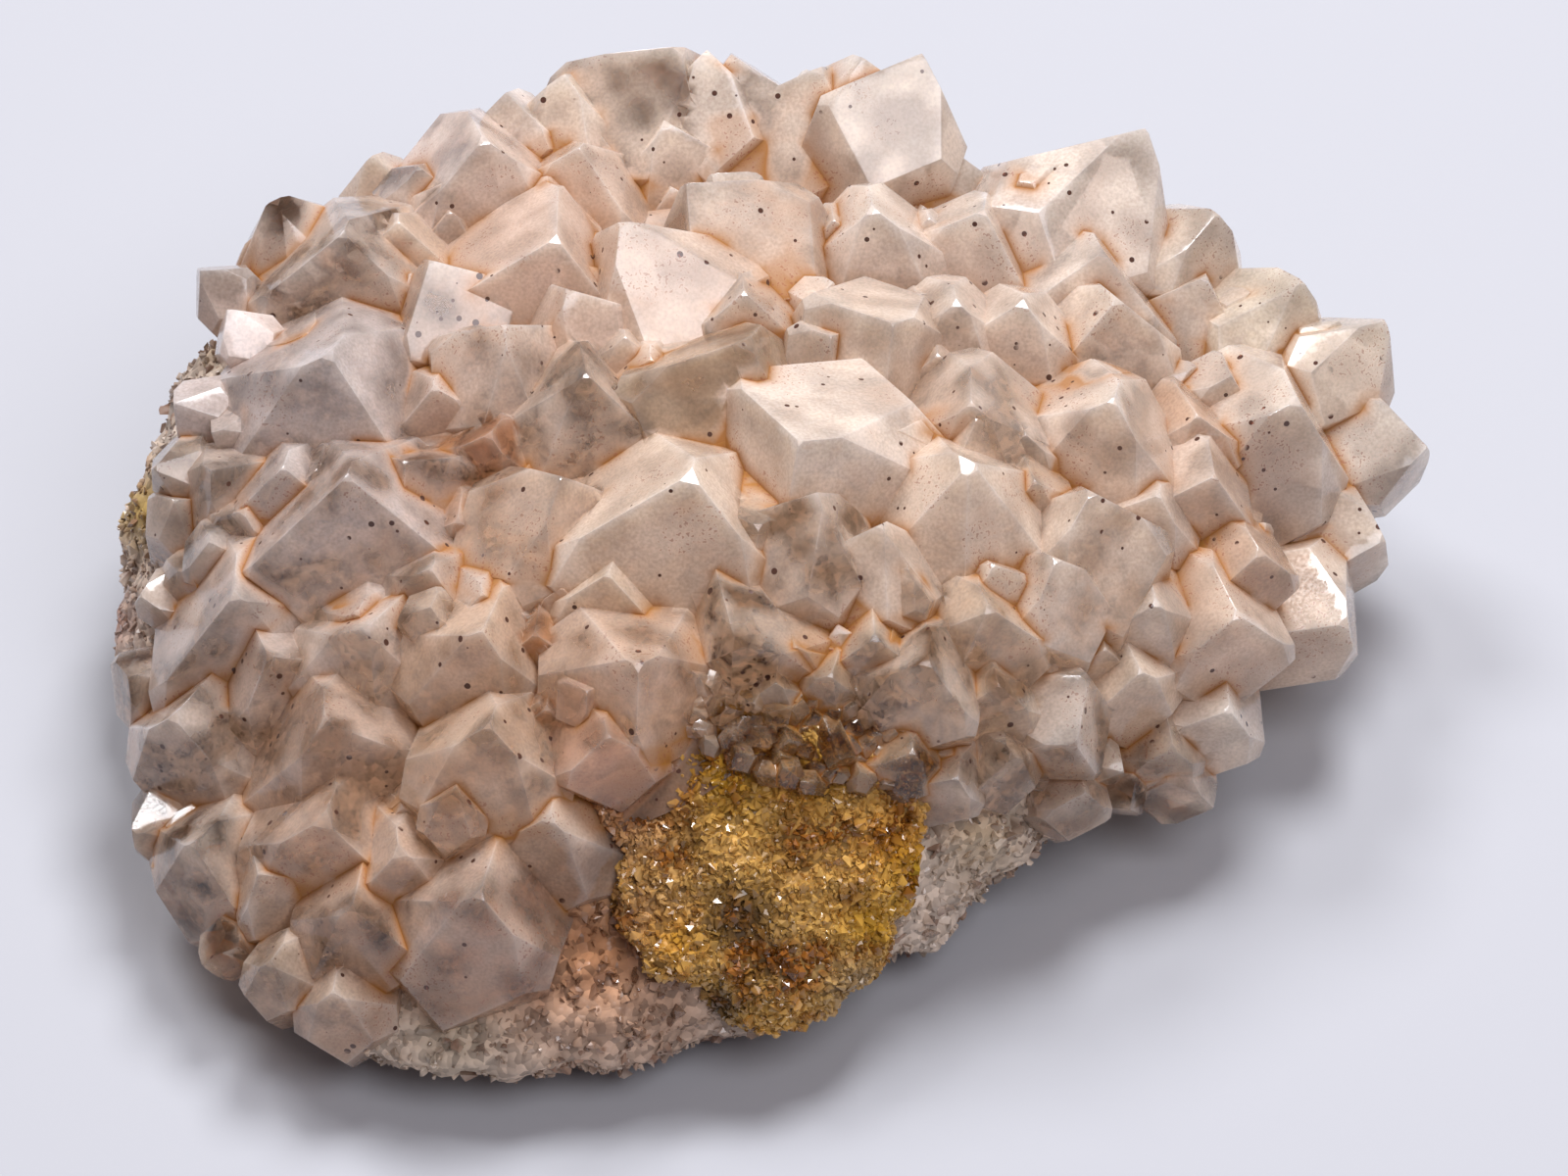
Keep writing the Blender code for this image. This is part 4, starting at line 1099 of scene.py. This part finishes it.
for piece, material in (
    (quartzPiece, milkyQuartz()),
    (rockPiece, sandyStone("sandy rock", 0.45, 0.55, 0.15)),
    (rockGrainPiece, glassyGrains("rock grains", 0.6, 1.4, 0.5, 0.35, "#7d5c48")),
    (limonitePad, sandyStone("limonite crust", 0.4, 0.4, 0.15)),
    (limoniteGrains, glassyGrains("limonite grains", 0.6, 1.5, 0.8, 0.2, "#8a4f14")),
):
    piece.data.materials.clear()
    piece.data.materials.append(material)
print("materials done")


def makeFloor():
    bm = bmesh.new()
    bmesh.ops.create_grid(bm, x_segments=1, y_segments=1, size=3)
    mesh = newMesh("floor", bm)
    piece = newPiece("floor", mesh)
    piece.location.z = -0.02 * mm
    material, tree, shader, output = newMaterial("floor paper")
    shader.inputs["Base Color"].default_value = linear("#a7a9ae")
    shader.inputs["Roughness"].default_value = 0.85
    mesh.materials.append(material)
    return piece


def makeLight(name, place, size, power, colour="#ffffff"):
    lamp = bpy.data.lights.new(name, "AREA")
    lamp.shape = "DISK"
    lamp.size = size
    lamp.energy = power
    lamp.color = linear(colour)[:3]
    light = newPiece(name, lamp)
    light.location = place
    light.rotation_euler = (Vector((0, -0.005, 0.012)) - Vector(place)).to_track_quat("-Z", "Y").to_euler()
    return light


makeFloor()
makeLight("key", (0.07, 0.12, 0.40), 0.16, 1.75, "#fbfbff")
makeLight("fill", (0.22, -0.30, 0.56), 0.4, 2.15, "#f8f8ff")
makeLight("left", (-0.22, 0.20, 0.48), 0.2, 1.9, "#fbfbff")
world = bpy.data.worlds.new("studio")
scene.world = world
world.use_nodes = True
world.node_tree.nodes["Background"].inputs["Color"].default_value = linear("#f3dcdf")
world.node_tree.nodes["Background"].inputs["Strength"].default_value = 0.26

camera = newPiece("camera", bpy.data.cameras.new("camera"))
camera.data.lens = 148.5
camera.data.sensor_width = 36
camera.data.clip_start = 0.01
camera.location = viewCentre + shift - forward * view["distance"] * mm
camera.rotation_euler = forward.to_track_quat("-Z", "Y").to_euler()
scene.camera = camera
scene.view_settings.view_transform = "Standard"
scene.cycles.use_denoising = True
scene.cycles.sample_clamp_indirect = 1.5
scene.cycles.use_light_tree = False
scene.cycles.max_bounces = 5
scene.cycles.transmission_bounces = 4
scene.cycles.diffuse_bounces = 2
scene.cycles.glossy_bounces = 2
